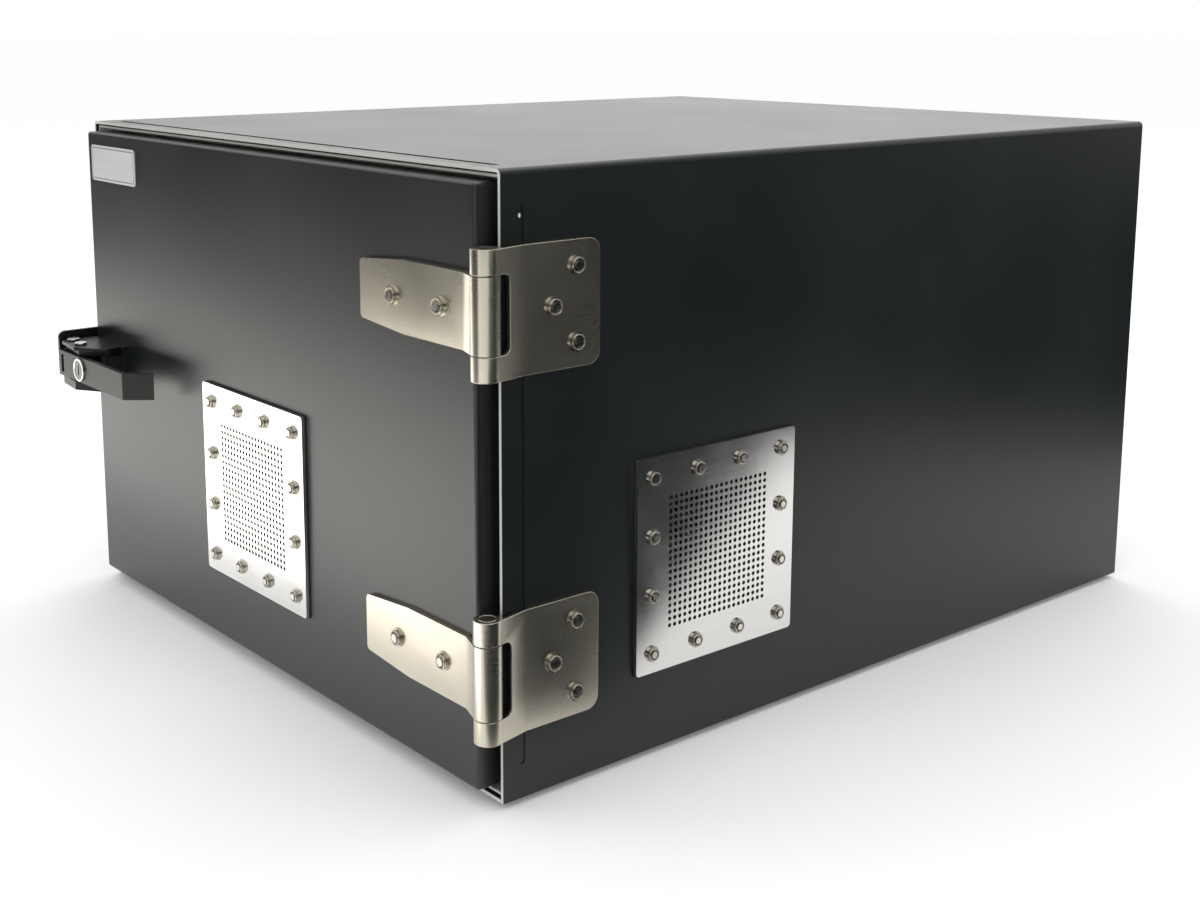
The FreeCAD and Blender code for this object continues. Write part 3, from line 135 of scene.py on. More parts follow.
# %% Signals and recipes
class Signal:
    """One number, colour or vector on its way through a material."""

    def __init__(self, recipe, socket):
        self.recipe = recipe
        self.socket = socket

    def math(self, operation, *values):
        return self.recipe.add("ShaderNodeMath", {"operation": operation}, *values)

    def __add__(self, other):
        return self.math("ADD", self, other)

    def __radd__(self, other):
        return self.math("ADD", other, self)

    def __sub__(self, other):
        return self.math("SUBTRACT", self, other)

    def __rsub__(self, other):
        return self.math("SUBTRACT", other, self)

    def __mul__(self, other):
        return self.math("MULTIPLY", self, other)

    def __rmul__(self, other):
        return self.math("MULTIPLY", other, self)

    def __truediv__(self, other):
        return self.math("DIVIDE", self, other)

    def __rtruediv__(self, other):
        return self.math("DIVIDE", other, self)

    def __gt__(self, other):
        return self.math("GREATER_THAN", self, other)

    def __lt__(self, other):
        return self.math("LESS_THAN", self, other)


class Recipe:
    """One material and the nodes that make it."""

    def __init__(self, name):
        self.material = bpy.data.materials.new(name)
        self.material.use_nodes = True
        self.tree = self.material.node_tree
        self.tree.nodes.clear()

    def feed(self, socket, value):
        """Plug a signal into a socket, or set a plain value on it."""
        if isinstance(value, Signal):
            self.tree.links.new(value.socket, socket)
        elif isinstance(value, tuple) and len(value) == 3 and socket.type == "RGBA":
            socket.default_value = (*value, 1)
        else:
            socket.default_value = value

    def add(self, kind, settings, *values, out=0, **named):
        """Make one node: its settings, then its inputs in order or by name."""
        node = self.tree.nodes.new(kind)
        for key, value in settings.items():
            if key == "stops":
                self.set_stops(node.color_ramp, value)
            else:
                setattr(node, key, value)
        for socket, value in zip(node.inputs, values):
            self.feed(socket, value)
        for name, value in named.items():
            self.feed(node.inputs[name.replace("_", " ")], value)
        return Signal(self, node.outputs[out])

    def set_stops(self, ramp, stops):
        """Give a ramp its stops, each a position and a grey level."""
        while len(ramp.elements) < len(stops):
            ramp.elements.new(0.5)
        for element, (position, level) in zip(ramp.elements, stops):
            element.position = position
            element.color = (level, level, level, 1)

    def mix(self, factor, first, second):
        """Blend two colours."""
        node = self.tree.nodes.new("ShaderNodeMix")
        node.data_type = "RGBA"
        self.feed(node.inputs["Factor"], factor)
        self.feed(node.inputs[6], first)
        self.feed(node.inputs[7], second)
        return Signal(self, node.outputs[2])

    def place(self, scale=(1, 1, 1)):
        """Object coordinates, stretched by a scale along each axis."""
        coordinates = self.add("ShaderNodeTexCoord", {}, out="Object")
        return self.add("ShaderNodeMapping", {}, Vector=coordinates, Scale=scale)

    def along(self, axis):
        """One Object coordinate, in metres."""
        return self.add("ShaderNodeSeparateXYZ", {}, self.place(), out=axis)

    def facing(self, axis):
        """How far the surface faces along an axis, from -1 to 1."""
        normal = self.add("ShaderNodeNewGeometry", {}, out="Normal")
        return self.add("ShaderNodeSeparateXYZ", {}, normal, out=axis)

    def noise(self, scale, detail=2, stretch=(1, 1, 1), roughness=0.5):
        """Soft random mottling between 0 and 1. The scale counts its patches per metre."""
        return self.add("ShaderNodeTexNoise", {}, Vector=self.place(stretch), Scale=scale,
                        Detail=detail, Roughness=roughness)

    def ramp(self, value, *stops):
        """Reshape a value by stops of position and level."""
        return self.add("ShaderNodeValToRGB", {"stops": stops}, value)

    def bump(self, height, strength, distance):
        """A Normal from a height."""
        return self.add("ShaderNodeBump", {}, Strength=strength, Distance=distance, Height=height)

    def surface(self, **sockets):
        """Close the recipe with one shader and return its material."""
        shader = self.tree.nodes.new("ShaderNodeBsdfPrincipled")
        for name, value in sockets.items():
            self.feed(shader.inputs[name.replace("_", " ")], value)
        output = self.tree.nodes.new("ShaderNodeOutputMaterial")
        self.tree.links.new(shader.outputs[0], output.inputs["Surface"])
        return self.material


print("shader words:", [word for word in dir(Recipe) if not word.startswith("_")])

# %% [markdown]
# ## Powder coat
# The case and the door are sprayed with a satin black powder that melts into a skin. Such a skin
# isn't flat: it has a very fine orange-peel ripple, it is a touch rougher in patches, and it picks
# up faint dust. Where the sheet was cut after coating, at the front lip, the bare metal shows.

# %% Powder coat
COAT_DARK = (0.0050, 0.0078, 0.0078)
COAT_LIGHT = (0.0085, 0.0120, 0.0118)
BARE_METAL = (0.66, 0.66, 0.62)
LIP_DEPTH = 0.4 * MM
CHIP_PLACE = (case_low.y + 13 * MM, case_high.z - 25 * MM)


def powder_coat(name, bare_lip=False, roughness=0.36, gloss=0.42):
    """Satin powder coat, with the cut front edge left bare if asked."""
    recipe = Recipe(name)
    patches = recipe.noise(9, detail=4)
    peel = recipe.noise(620, detail=2)
    grain = recipe.noise(2600, detail=1)
    colour = recipe.mix(recipe.ramp(patches, (0.35, 0), (0.7, 1)), COAT_DARK, COAT_LIGHT)
    rough = roughness + (patches - 0.5) * 0.10 + (grain - 0.5) * 0.08
    metal = 0.0
    if bare_lip:
        near_edge = recipe.along("Y") < case_low.y + LIP_DEPTH
        lip = near_edge * (recipe.facing("Y") < -0.7)
        chip_y, chip_z = (recipe.along(axis) - place for axis, place in zip("YZ", CHIP_PLACE))
        chip = (chip_y * chip_y + chip_z * chip_z * 0.4 < (0.8 * MM) ** 2) * (recipe.facing("X") > 0.5)
        bare = lip.math("MAXIMUM", lip, chip)
        colour = recipe.mix(bare, colour, BARE_METAL)
        rough = rough + bare * 0.10
        metal = bare * 0.25
    height = peel * 0.7 + grain * 0.3
    return recipe.surface(Base_Color=colour, Roughness=rough, Metallic=metal,
                          Normal=recipe.bump(height, 0.08, 0.0002), Specular_IOR_Level=gloss,
                          Coat_Weight=0.12, Coat_Roughness=0.22)


# %% [markdown]
# ## Brushed and rolled metal
# The hinges are thick stainless sheet with a dull, slightly warm brushed face, and the vent plates
# are brighter rolled sheet. Brushing is a noise squeezed into long lines: stretched a hundredfold
# along the brushing and left fine across it. It drives the roughness and a shallow bump. A slow
# patch noise adds the cloudy stains of handling.

# %% Brushed metal
def brushed_steel(name, tint, roughness, lines=(4, 4, 420), cloud=12.0, line_bump=0.02, streak=0.05,
                  metallic=1.0, contrast=0.9):
    """Metal brushed along the directions in which the line counts are low."""
    recipe = Recipe(name)
    strokes = recipe.noise(1, detail=5, stretch=lines, roughness=0.65)
    clouds = recipe.noise(cloud, detail=3)
    fine = recipe.noise(1500, detail=1)
    dark = tuple(value * contrast for value in tint)
    colour = recipe.mix(recipe.ramp(strokes * 0.6 + clouds * 0.4, (0.3, 0), (0.7, 1)), dark, tint)
    rough = roughness + (strokes - 0.5) * streak + (clouds - 0.5) * 0.10
    return recipe.surface(Base_Color=colour, Roughness=rough, Metallic=metallic,
                          Normal=recipe.bump(strokes * 0.85 + fine * 0.15, line_bump, 0.0001))


def polished_steel(name, tint, roughness, grime=None):
    """Turned and tumbled metal: bright, with faint pits, a slow change of gloss, and painted shade
    where a named attribute of the mesh is high."""
    recipe = Recipe(name)
    pits = recipe.noise(900, detail=2)
    clouds = recipe.noise(160, detail=2)
    dark = tuple(value * 0.72 for value in tint)
    colour = recipe.mix(recipe.ramp(clouds, (0.3, 0), (0.65, 1)), dark, tint)
    rough = roughness + (clouds - 0.5) * 0.14 + (pits - 0.5) * 0.06
    if grime:
        shade_amount = recipe.add("ShaderNodeAttribute", {"attribute_name": grime}, out="Fac")
        # Painted shade: the colour goes near black where the named attribute is high, standing in for
        # shade in hollows.
        colour = recipe.mix(shade_amount * (0.75 + clouds * 0.25), colour, (0.05, 0.048, 0.042))
        rough = rough + shade_amount * 0.3
    return recipe.surface(Base_Color=colour, Roughness=rough, Metallic=1.0,
                          Normal=recipe.bump(pits, 0.06, 0.0001))


# %% [markdown]
# ## Soft and moulded finishes
# Foam is open cells, so it is very rough and its height is a cell noise. Rubber and moulded nylon
# are nearly black with a dusty sheen. The door gasket is a woven conductive cloth over a foam core,
# so its colour and its bump share one weave made of two crossed waves.

# %% Soft finishes
def open_foam(name, colour):
    """Open-cell foam: pores darkened as painted shade between lighter ribs."""
    recipe = Recipe(name)
    cells = recipe.add("ShaderNodeTexVoronoi", {"feature": "DISTANCE_TO_EDGE"},
                       Vector=recipe.place(), Scale=420.0)
    tone = recipe.noise(14, detail=3)
    pores = recipe.ramp(cells, (0.02, 1), (0.22, 0))
    # Painted shade: the hollows of the cells are darkened, mixed with a random tone.
    pore_shade = tuple(value * 0.35 for value in colour)
    mixed = recipe.mix(pores * 0.7 + tone * 0.3, pore_shade, colour)
    return recipe.surface(Base_Color=mixed, Roughness=0.86 + tone * 0.1,
                          Normal=recipe.bump(pores, 0.5, 0.0006), Specular_IOR_Level=0.2)


def moulded(name, colour, roughness):
    """Rubber or nylon with a faint moulded grain."""
    recipe = Recipe(name)
    grain = recipe.noise(1200, detail=2)
    dust = recipe.noise(30, detail=3)
    pale = tuple(value * 1.6 + 0.004 for value in colour)
    mixed = recipe.mix(recipe.ramp(dust, (0.4, 0), (0.75, 1)), colour, pale)
    return recipe.surface(Base_Color=mixed, Roughness=roughness + (grain - 0.5) * 0.12,
                          Normal=recipe.bump(grain, 0.2, 0.0001), Specular_IOR_Level=0.4)


def woven_seal(name, colour):
    """Conductive woven cloth: two crossed sets of threads."""
    recipe = Recipe(name)
    threads = 900.0
    warp, weft = (recipe.add("ShaderNodeTexWave", {"bands_direction": "DIAGONAL"},
                             Vector=recipe.place(stretch), Scale=threads)
                  for stretch in ((1, 1, 1), (1, -1, -1)))
    weave = warp * weft
    mixed = recipe.mix(weave, tuple(value * 0.5 for value in colour), colour)
    return recipe.surface(Base_Color=mixed, Roughness=0.5 - weave * 0.12, Metallic=0.6,
                          Normal=recipe.bump(weave, 0.3, 0.0002))


# %% [markdown]
# ## Latch black
# The latch is cast and painted: smoother than the case, and rubbed a little greyer in random
# patches.

# %% Latch black
def latch_paint(name):
    """Satin black paint over a casting."""
    recipe = Recipe(name)
    cast = recipe.noise(700, detail=3)
    rubbed = recipe.noise(45, detail=3)
    colour = recipe.mix(recipe.ramp(rubbed, (0.4, 0), (0.8, 1)),
                        (0.007, 0.007, 0.007), (0.015, 0.015, 0.014))
    return recipe.surface(Base_Color=colour, Roughness=0.38 + (cast - 0.5) * 0.16,
                          Normal=recipe.bump(cast, 0.12, 0.0002), Specular_IOR_Level=0.34)


# %% [markdown]
# ## Name plate
# The plate on the door is a blank: a pale satin plate with a darker pressed border. The border is
# the band between two distances from the plate's edge, worked out from the plate's own box.

# %% Name plate
BORDER_NEAR = 1.6 * MM
BORDER_FAR = 2.2 * MM


def blank_plate(name, box):
    """Pale satin sheet with a thin darker border line."""
    low, high = box
    recipe = Recipe(name)
    across, up = recipe.along("X"), recipe.along("Z")
    edge_x = (across - low.x).math("MINIMUM", across - low.x, high.x - across)
    edge_z = (up - low.z).math("MINIMUM", up - low.z, high.z - up)
    edge = edge_x.math("MINIMUM", edge_x, edge_z)
    line = (edge > BORDER_NEAR) * (edge < BORDER_FAR)
    sheen = recipe.noise(1, detail=3, stretch=(12, 12, 900))
    satin = recipe.mix(sheen, (0.62, 0.62, 0.61), (0.78, 0.78, 0.77))
    colour = recipe.mix(line, satin, (0.16, 0.16, 0.16))
    return recipe.surface(Base_Color=colour, Roughness=0.34 + (sheen - 0.5) * 0.1, Metallic=0.35,
                          Normal=recipe.bump(sheen - line * 0.8, 0.12, 0.0002))


print("border of the plate:", round((BORDER_FAR - BORDER_NEAR) / MM, 1), "mm wide")

# %% [markdown]
# ## One finish for every part
# The design names a finish for each part. The recipes above are mixed once each, with the colour and
# the gloss of the real metal or rubber, and every part gets the one that it names. A few parts then
# get a version of their own: the case has a bare front lip, the door is a little glossier, and the
# washers get a darker steel as painted shade between the stacked parts.

# %% Mix every finish
finishes = {
    "case_paint": powder_coat("case_paint"),
    "plated_sheet": brushed_steel("plated_sheet", (0.74, 0.73, 0.68), 0.34, lines=(60, 60, 60),
                                  cloud=25, metallic=0.45),
    "foam": open_foam("foam", (0.030, 0.033, 0.038)),
    "rubber": moulded("rubber", (0.012, 0.012, 0.012), 0.7),
    "seal_rubber": moulded("seal_rubber", (0.016, 0.016, 0.016), 0.6),
    "shield_fabric": woven_seal("shield_fabric", (0.36, 0.36, 0.35)),
    "vent_steel": brushed_steel("vent_steel", (0.86, 0.855, 0.83), 0.16, lines=(6, 6, 300),
                                cloud=30, line_bump=0.01),
    "core_metal": brushed_steel("core_metal", (0.20, 0.20, 0.20), 0.5, lines=(80, 80, 80)),
    "stainless": brushed_steel("stainless", (0.72, 0.67, 0.56), 0.27, lines=(5, 5, 200), cloud=14,
                               streak=0.02, contrast=0.94, line_bump=0.003),
    "polymer": moulded("polymer", (0.010, 0.010, 0.010), 0.5),
    "latch_black": latch_paint("latch_black"),
    "pin_steel": polished_steel("pin_steel", (0.74, 0.73, 0.70), 0.24),
    "lock_chrome": polished_steel("lock_chrome", (0.84, 0.84, 0.83), 0.14),
    "connector_metal": polished_steel("connector_metal", (0.78, 0.70, 0.52), 0.22),
    "plate_silver": blank_plate("plate_silver", node_box("name_plate")),
    # The screws' finish paints shade where the mesh's named attribute marks the socket and the underside
    # of the head.
    "screw_steel": polished_steel("screw_steel", (0.84, 0.81, 0.74), 0.20, grime="grime"),
}
lip_coat = powder_coat("case_paint_bare_lip", bare_lip=True)
door_coat = powder_coat("case_paint_door", gloss=0.62)
# Painted shade: the washers get a darker steel than the screws, standing in for shade between the stacked
# parts.
shaded_washer_steel = polished_steel("shaded_washer_steel", (0.60, 0.57, 0.50), 0.26)
plug_steel = polished_steel("plug_steel", (0.17, 0.17, 0.165), 0.34)


def finish_node(node, material):
    """Give a design part its finish."""
    thing = frame["nodes"][node]
    thing.data.materials.clear()
    thing.data.materials.append(material)


for part in frame["record"]["subparts"]:
    finish_node(part["node"], finishes[part["material_slot"]])
finish_node("case_wrap", lip_coat)
finish_node("case_base", lip_coat)
finish_node("door_pan", door_coat)
finish_node("lock_plug", plug_steel)
for node in frame["nodes"]:
    if node.endswith("washers") and "thrust" not in node:
        finish_node(node, shaded_washer_steel)
print(len(finishes), "finishes on", len(frame["nodes"]), "parts")

# %% [markdown]
# ## Soft edges
# No real edge is a knife edge: a cut and deburred plate has a rim a few tenths of a millimetre
# round, and that rim is what catches the light. A design part keeps its mesh, so a part that needs
# soft edges is copied, its loose triangles are merged, flat areas are dissolved to clean faces, and
# a Bevel modifier rounds what is left. The copy then stands for the part.

# %% Soft edges
def as_piece(name, mesh, body, material):
    """Put a mesh in the scene as a piece that moves with a body."""
    piece = bpy.data.objects.new(name, mesh)
    bpy.context.scene.collection.objects.link(piece)
    mesh.materials.clear()
    mesh.materials.append(material)
    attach(piece, body)
    return piece


WELD = 0.002 * MM
FLAT_ANGLE = math.radians(0.6)
RIM_ANGLE = math.radians(32)
FOLD_ANGLE = math.radians(6)
FOLD_AREA = 250 * MM * MM


def merged_copy(node):
    """A welded copy of a part's mesh, with its flat areas made single faces and its folds crisp."""
    work = bmesh.new()
    work.from_mesh(frame["nodes"][node].data)
    bmesh.ops.remove_doubles(work, verts=work.verts, dist=WELD)
    bmesh.ops.dissolve_limit(work, angle_limit=FLAT_ANGLE, verts=work.verts, edges=work.edges)
    for face in work.faces:
        face.smooth = True
    for edge in work.edges:
        broad = min((face.calc_area() for face in edge.link_faces), default=0) > FOLD_AREA
        if broad and len(edge.link_faces) == 2 and FOLD_ANGLE < edge.calc_face_angle() < RIM_ANGLE:
            edge.smooth = False
    mesh = bpy.data.meshes.new(node + "_soft")
    work.to_mesh(mesh)
    work.free()
    return mesh


def baked_mesh(thing, name):
    """The evaluated mesh of an object, with its modifiers removed afterwards."""
    graph = bpy.context.evaluated_depsgraph_get()
    mesh = bpy.data.meshes.new_from_object(thing.evaluated_get(graph))
    mesh.name = name
    thing.modifiers.clear()
    return mesh


def soften(node, width, segments=2):
    """A copy of a part with rounded rims, standing for the part."""
    draft = bpy.data.objects.new(node + "_draft", merged_copy(node))
    bpy.context.scene.collection.objects.link(draft)
    bevel = draft.modifiers.new("rims", "BEVEL")
    bevel.width = width
    bevel.segments = segments
    bevel.limit_method = "ANGLE"
    bevel.angle_limit = RIM_ANGLE
    bevel.use_clamp_overlap = True
    flat = draft.modifiers.new("flat faces", "WEIGHTED_NORMAL")
    flat.mode = "FACE_AREA"
    flat.weight = 100
    flat.keep_sharp = True
    bpy.context.view_layer.update()
    mesh = baked_mesh(draft, node + "_soft")
    bpy.data.objects.remove(draft)
    material = frame["nodes"][node].data.materials[0]
    piece = as_piece(node + "_soft", mesh, body_of(node), material)
    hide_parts(node)
    print(node, "soft, faces:", len(mesh.polygons))
    return piece


SOFT_EDGES = {
    "lower_hinge_case_leaf": 0.5, "upper_hinge_case_leaf": 0.5,
    "lower_hinge_door_leaf": 0.5, "upper_hinge_door_leaf": 0.5,
    "latch_housing": 0.8, "latch_lever": 0.9, "latch_keeper": 0.5,
    "latch_pivot_pin": 0.6, "latch_spacer_pin": 0.6, "lock_collar": 0.4, "lock_plug": 0.2,
    "name_plate": 0.2, "lower_hinge_pin": 0.5, "upper_hinge_pin": 0.5, "feet": 0.6,
}
for node, width in SOFT_EDGES.items():
    soften(node, width * MM)

# %% [markdown]
# ## Screws by Geometry Nodes
# Over forty screws share two sizes, so one node tree draws a screw and repeats it. Its head is a
# disc whose rings are lowered towards the rim, its recess is a six-lobed cutter taken away with a
# Boolean, and its shank is a plain bar. The places come from the frame: each loose island of a
# screw part is one screw, its long side is its axis, and its head looks away from the enclosure.

# %% Where the screws are
def islands(node):
    """Low and high corner of each loose island of a part."""
    work = bmesh.new()
    work.from_mesh(frame["nodes"][node].data)
    bmesh.ops.remove_doubles(work, verts=work.verts, dist=WELD)
    unseen = set(work.verts)
    boxes = []
    while unseen:
        seed = unseen.pop()
        queue, island = [seed], [seed]
        while queue:
            for edge in queue.pop().link_edges:
                for vertex in edge.verts:
                    if vertex in unseen:
                        unseen.remove(vertex)
                        queue.append(vertex)
                        island.append(vertex)
        low = Vector([min(vertex.co[axis] for vertex in island) for axis in range(3)])
        high = Vector([max(vertex.co[axis] for vertex in island) for axis in range(3)])
        boxes.append((low, high))
    work.free()
    return sorted(boxes, key=lambda box: tuple(box[0]))


middle = (Vector(design_box[0]) + Vector(design_box[1])) / 2


def fastener_places(node, pick):
    """The outer end and the outward direction of each fastener of a part. Its axis is the side that
    pick prefers: the longest of a screw, the shortest of a washer."""
    places = []
    for low, high in islands(node):
        size = high - low
        axis = pick(range(3), key=lambda side: size[side])
        centre = (low + high) / 2
        outward = Vector((0, 0, 0))
        outward[axis] = 1 if centre[axis] > middle[axis] else -1
        tip = centre + outward * size[axis] / 2
        places.append((tip, outward))
    return places


print("case vent and port screws:", len(fastener_places("case_small_screws", max)))

# %% [markdown]
# A node tree is written like a sentence, too. `Tree` has one method that adds a node, sets it up
# and plugs it in, and named inputs for the sizes, so that one tree serves both screw sizes.

# %% A small helper for Geometry Nodes
class Tree:
    """A Geometry Nodes tree with named inputs."""

    def __init__(self, name, **inputs):
        self.group = bpy.data.node_groups.new(name, "GeometryNodeTree")
        face = self.group.interface
        face.new_socket("Geometry", in_out="INPUT", socket_type="NodeSocketGeometry")
        face.new_socket("Geometry", in_out="OUTPUT", socket_type="NodeSocketGeometry")
        for label, amount in inputs.items():
            kind = "NodeSocketInt" if isinstance(amount, int) else "NodeSocketFloat"
            socket = face.new_socket(label, in_out="INPUT", socket_type=kind)
            socket.default_value = amount
        self.start = self.group.nodes.new("NodeGroupInput")
        self.end = self.group.nodes.new("NodeGroupOutput")

    def given(self, label):
        """The socket of a named input."""
        return self.start.outputs[label]

    def add(self, kind, settings, *values, out=0, **named):
        """Make one node: its settings, then its inputs in order or by name."""
        node = self.group.nodes.new(kind)
        for key, value in settings.items():
            setattr(node, key, value)
        for socket, value in list(zip(node.inputs, values)) + [
                (node.inputs[label.replace("_", " ")], value) for label, value in named.items()]:
            if isinstance(value, bpy.types.NodeSocket):
                self.group.links.new(value, socket)
            elif value is not None:
                socket.default_value = value
        return node.outputs[out]

    def math(self, operation, *values):
        return self.add("ShaderNodeMath", {"operation": operation}, *values)

    def finish(self, geometry, material):
        """End the tree in real geometry with a material."""
        real = self.add("GeometryNodeRealizeInstances", {}, geometry)
        dressed = self.add("GeometryNodeSetMaterial", {}, real, None, material)
        self.group.links.new(dressed, self.end.inputs["Geometry"])
        return self.group


def run_tree(group, points, name, **inputs):
    """Run a tree on a mesh of points, with its named inputs set, and return a plain mesh."""
    carrier = bpy.data.objects.new(name + "_points", points)
    bpy.context.scene.collection.objects.link(carrier)
    modifier = carrier.modifiers.new("tree", "NODES")
    modifier.node_group = group
    for item in group.interface.items_tree:
        if item.in_out == "INPUT" and item.name in inputs:
            modifier[item.identifier] = inputs[item.name]
    bpy.context.view_layer.update()
    mesh = baked_mesh(carrier, name)
    bpy.data.objects.remove(carrier)
    return mesh


print("tree words:", [word for word in dir(Tree) if not word.startswith("_")])

# %% [markdown]
# ## Screws and spring washers
# A pan-head screw is a low dome with a lobed socket, and under it sits a spring washer: a short coil
# that is squeezed nearly flat. The screw starts as a disc of seven rings, so that each ring can sink
# by its distance from the axis. The socket and the underside of the head are darkened as painted
# shade, which the tree marks in a named attribute for the finish to read.

# %% The screw tree
FULL_TURN = 6.28
SPIN_SEED = 11
HEAD_SHARP = math.radians(38)
COIL_SHARP = math.radians(60)


def repeat_outward(tree, shape):
    """The shape on every point, turned along the point's direction and spun by chance about it."""
    outward = tree.add("GeometryNodeInputNamedAttribute", {"data_type": "FLOAT_VECTOR"}, "outward")
    turned = tree.add("FunctionNodeAlignRotationToVector", {"axis": "Z"}, Vector=outward)
    chance = tree.add("FunctionNodeRandomValue", {"data_type": "FLOAT"},
                      None, None, 0.0, FULL_TURN, None, None, None, None, SPIN_SEED, out=1)
    spin = tree.add("FunctionNodeAxisAngleToRotation", {}, (0.0, 0.0, 1.0), chance)
    spun = tree.add("FunctionNodeRotateRotation", {"rotation_space": "LOCAL"}, turned, spin)
    return tree.add("GeometryNodeInstanceOnPoints", {}, tree.start.outputs["Geometry"],
                    Instance=shape, Rotation=spun)


def coil_tree(material):
    """A spring lock washer of two turns on every point. The point is at its outer end."""
    tree = Tree("spring_washer", outer_radius=3.9 * MM, height=1.6 * MM, turns=1.9)
    height = tree.given("height")
    wire = tree.math("MULTIPLY", height, 0.25)
    radius = tree.math("SUBTRACT", tree.given("outer_radius"), wire)
    rise = tree.math("SUBTRACT", height, tree.math("MULTIPLY", wire, 2.0))
    spiral = tree.add("GeometryNodeCurveSpiral", {}, 22, tree.given("turns"), radius, radius, rise)
    profile = tree.add("GeometryNodeCurvePrimitiveCircle", {"mode": "RADIUS"}, 8, Radius=wire)
    coil = tree.add("GeometryNodeCurveToMesh", {}, spiral, profile, Fill_Caps=True)
    sunk = tree.add("ShaderNodeCombineXYZ", {}, 0.0, 0.0, tree.math("SUBTRACT", wire, height))
    coil = tree.add("GeometryNodeTransform", {}, coil, Translation=sunk)
    return tree.finish(repeat_outward(tree, coil), material)


def screw_tree(material):
    """Pan head with a lobed recess, and a shank, on every point and along its direction."""
    tree = Tree("pan_head_screw", head_radius=4.2 * MM, head_height=3.1 * MM, shank_radius=2 * MM,
                shank_length=14 * MM, lobes=6)
    radius, height = tree.given("head_radius"), tree.given("head_height")
    disc = tree.add("GeometryNodeMeshCylinder", {}, 36, 1, 7, radius, height)
    where = tree.add("GeometryNodeInputPosition", {})
    x, y, z = (tree.add("ShaderNodeSeparateXYZ", {}, where, out=axis) for axis in "XYZ")
    out_from_axis = tree.math("DIVIDE", tree.math("SQRT", tree.math(
        "ADD", tree.math("MULTIPLY", x, x), tree.math("MULTIPLY", y, y))), radius)
    crown = tree.math("MULTIPLY", tree.math("POWER", out_from_axis, 2.4),
                      tree.math("MULTIPLY", height, 0.5))
    top_only = tree.math("GREATER_THAN", z, 0.0)
    drop = tree.add("ShaderNodeCombineXYZ", {}, 0.0, 0.0,
                    tree.math("MULTIPLY", tree.math("MULTIPLY", crown, top_only), -1.0))
    head = tree.add("GeometryNodeSetPosition", {}, disc, None, None, drop)
    head = tree.add("GeometryNodeTransform", {}, head, Translation=tree.add(
        "ShaderNodeCombineXYZ", {}, 0.0, 0.0, tree.math("MULTIPLY", height, -0.5)))

    cutter = tree.add("GeometryNodeMeshCylinder", {}, 36, 1, 1, tree.math("MULTIPLY", radius, 0.46),
                      tree.math("MULTIPLY", height, 1.2))
    angle = tree.math("ARCTAN2", y, x)
    wave = tree.math("COSINE", tree.math("MULTIPLY", angle, tree.given("lobes")))
    swell = tree.math("ADD", 0.86, tree.math("MULTIPLY", wave, 0.14))
    lobed = tree.add("ShaderNodeCombineXYZ", {}, tree.math("MULTIPLY", x, swell),
                     tree.math("MULTIPLY", y, swell), z)
    cutter = tree.add("GeometryNodeSetPosition", {}, cutter, None, lobed)
    bit = tree.add("GeometryNodeMeshBoolean", {"operation": "DIFFERENCE"}, head, cutter)
    # Painted shade: the socket floor and the underside of the head are marked for the finish to darken.
    sunk_in = tree.math("LESS_THAN", z, tree.math("MULTIPLY", height, -0.35))
    near_axis = tree.math("LESS_THAN", out_from_axis, 0.55)
    under_rim = tree.math("LESS_THAN", z, tree.math("MULTIPLY", height, -0.9))
    shade_mask = tree.math("MAXIMUM", tree.math("MULTIPLY", sunk_in, near_axis),
                      tree.math("MULTIPLY", under_rim, 0.7))
    bit = tree.add("GeometryNodeStoreNamedAttribute", {"data_type": "FLOAT", "domain": "POINT"},
                   bit, None, "grime", shade_mask)

    length = tree.given("shank_length")
    shank = tree.add("GeometryNodeMeshCylinder", {}, 20, 1, 1, tree.given("shank_radius"), length)
    sunk = tree.math("MULTIPLY", tree.math("ADD", length, tree.math("MULTIPLY", height, 1.9)), -0.5)
    below = tree.add("ShaderNodeCombineXYZ", {}, 0.0, 0.0, sunk)
    shank = tree.add("GeometryNodeTransform", {}, shank, Translation=below)
    screw = tree.add("GeometryNodeJoinGeometry", {}, bit)
    tree.group.links.new(shank, screw.node.inputs[0])
    return tree.finish(repeat_outward(tree, screw), material)


def point_mesh(name, places):
    """A mesh of bare points that remember their outward direction."""
    mesh = bpy.data.meshes.new(name)
    mesh.from_pydata([tuple(tip) for tip, outward in places], [], [])
    memory = mesh.attributes.new("outward", "FLOAT_VECTOR", "POINT")
    for entry, (tip, outward) in zip(memory.data, places):
        entry.vector = outward
    return mesh


SHANK_LENGTH = 13.8 * MM
SCREW_SIZES = {
    "small": {"head_radius": 4.2 * MM, "head_height": 3.1 * MM, "shank_radius": 1.95 * MM,
              "shank_length": SHANK_LENGTH},
    "large": {"head_radius": 4.9 * MM, "head_height": 3.7 * MM, "shank_radius": 2.45 * MM,
              "shank_length": SHANK_LENGTH},
}
COIL_SIZES = {"small": {"outer_radius": 3.86 * MM}, "large": {"outer_radius": 4.5 * MM}}


def draw_fasteners(node, body, group, pick, sharp, material, amounts):
    """Run a tree over the fasteners of a part and let the result stand for the part."""
    places = fastener_places(node, pick)
    mesh = run_tree(group, point_mesh(node, places), node + "_drawn", **amounts)
    mesh.set_sharp_from_angle(angle=sharp)
    piece = as_piece(node + "_drawn", mesh, body, material)
    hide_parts(node)
    print(node, len(places), "drawn, faces:", len(mesh.polygons))


pan_head = screw_tree(finishes["screw_steel"])
coil = coil_tree(shaded_washer_steel)
for body in ("case", "door"):
    for size, amounts in SCREW_SIZES.items():
        draw_fasteners(f"{body}_{size}_screws", body, pan_head, max, HEAD_SHARP,
                       finishes["screw_steel"], amounts)
        draw_fasteners(f"{body}_{size}_spring_washers", body, coil, min, COIL_SHARP,
                       shaded_washer_steel, COIL_SIZES[size])

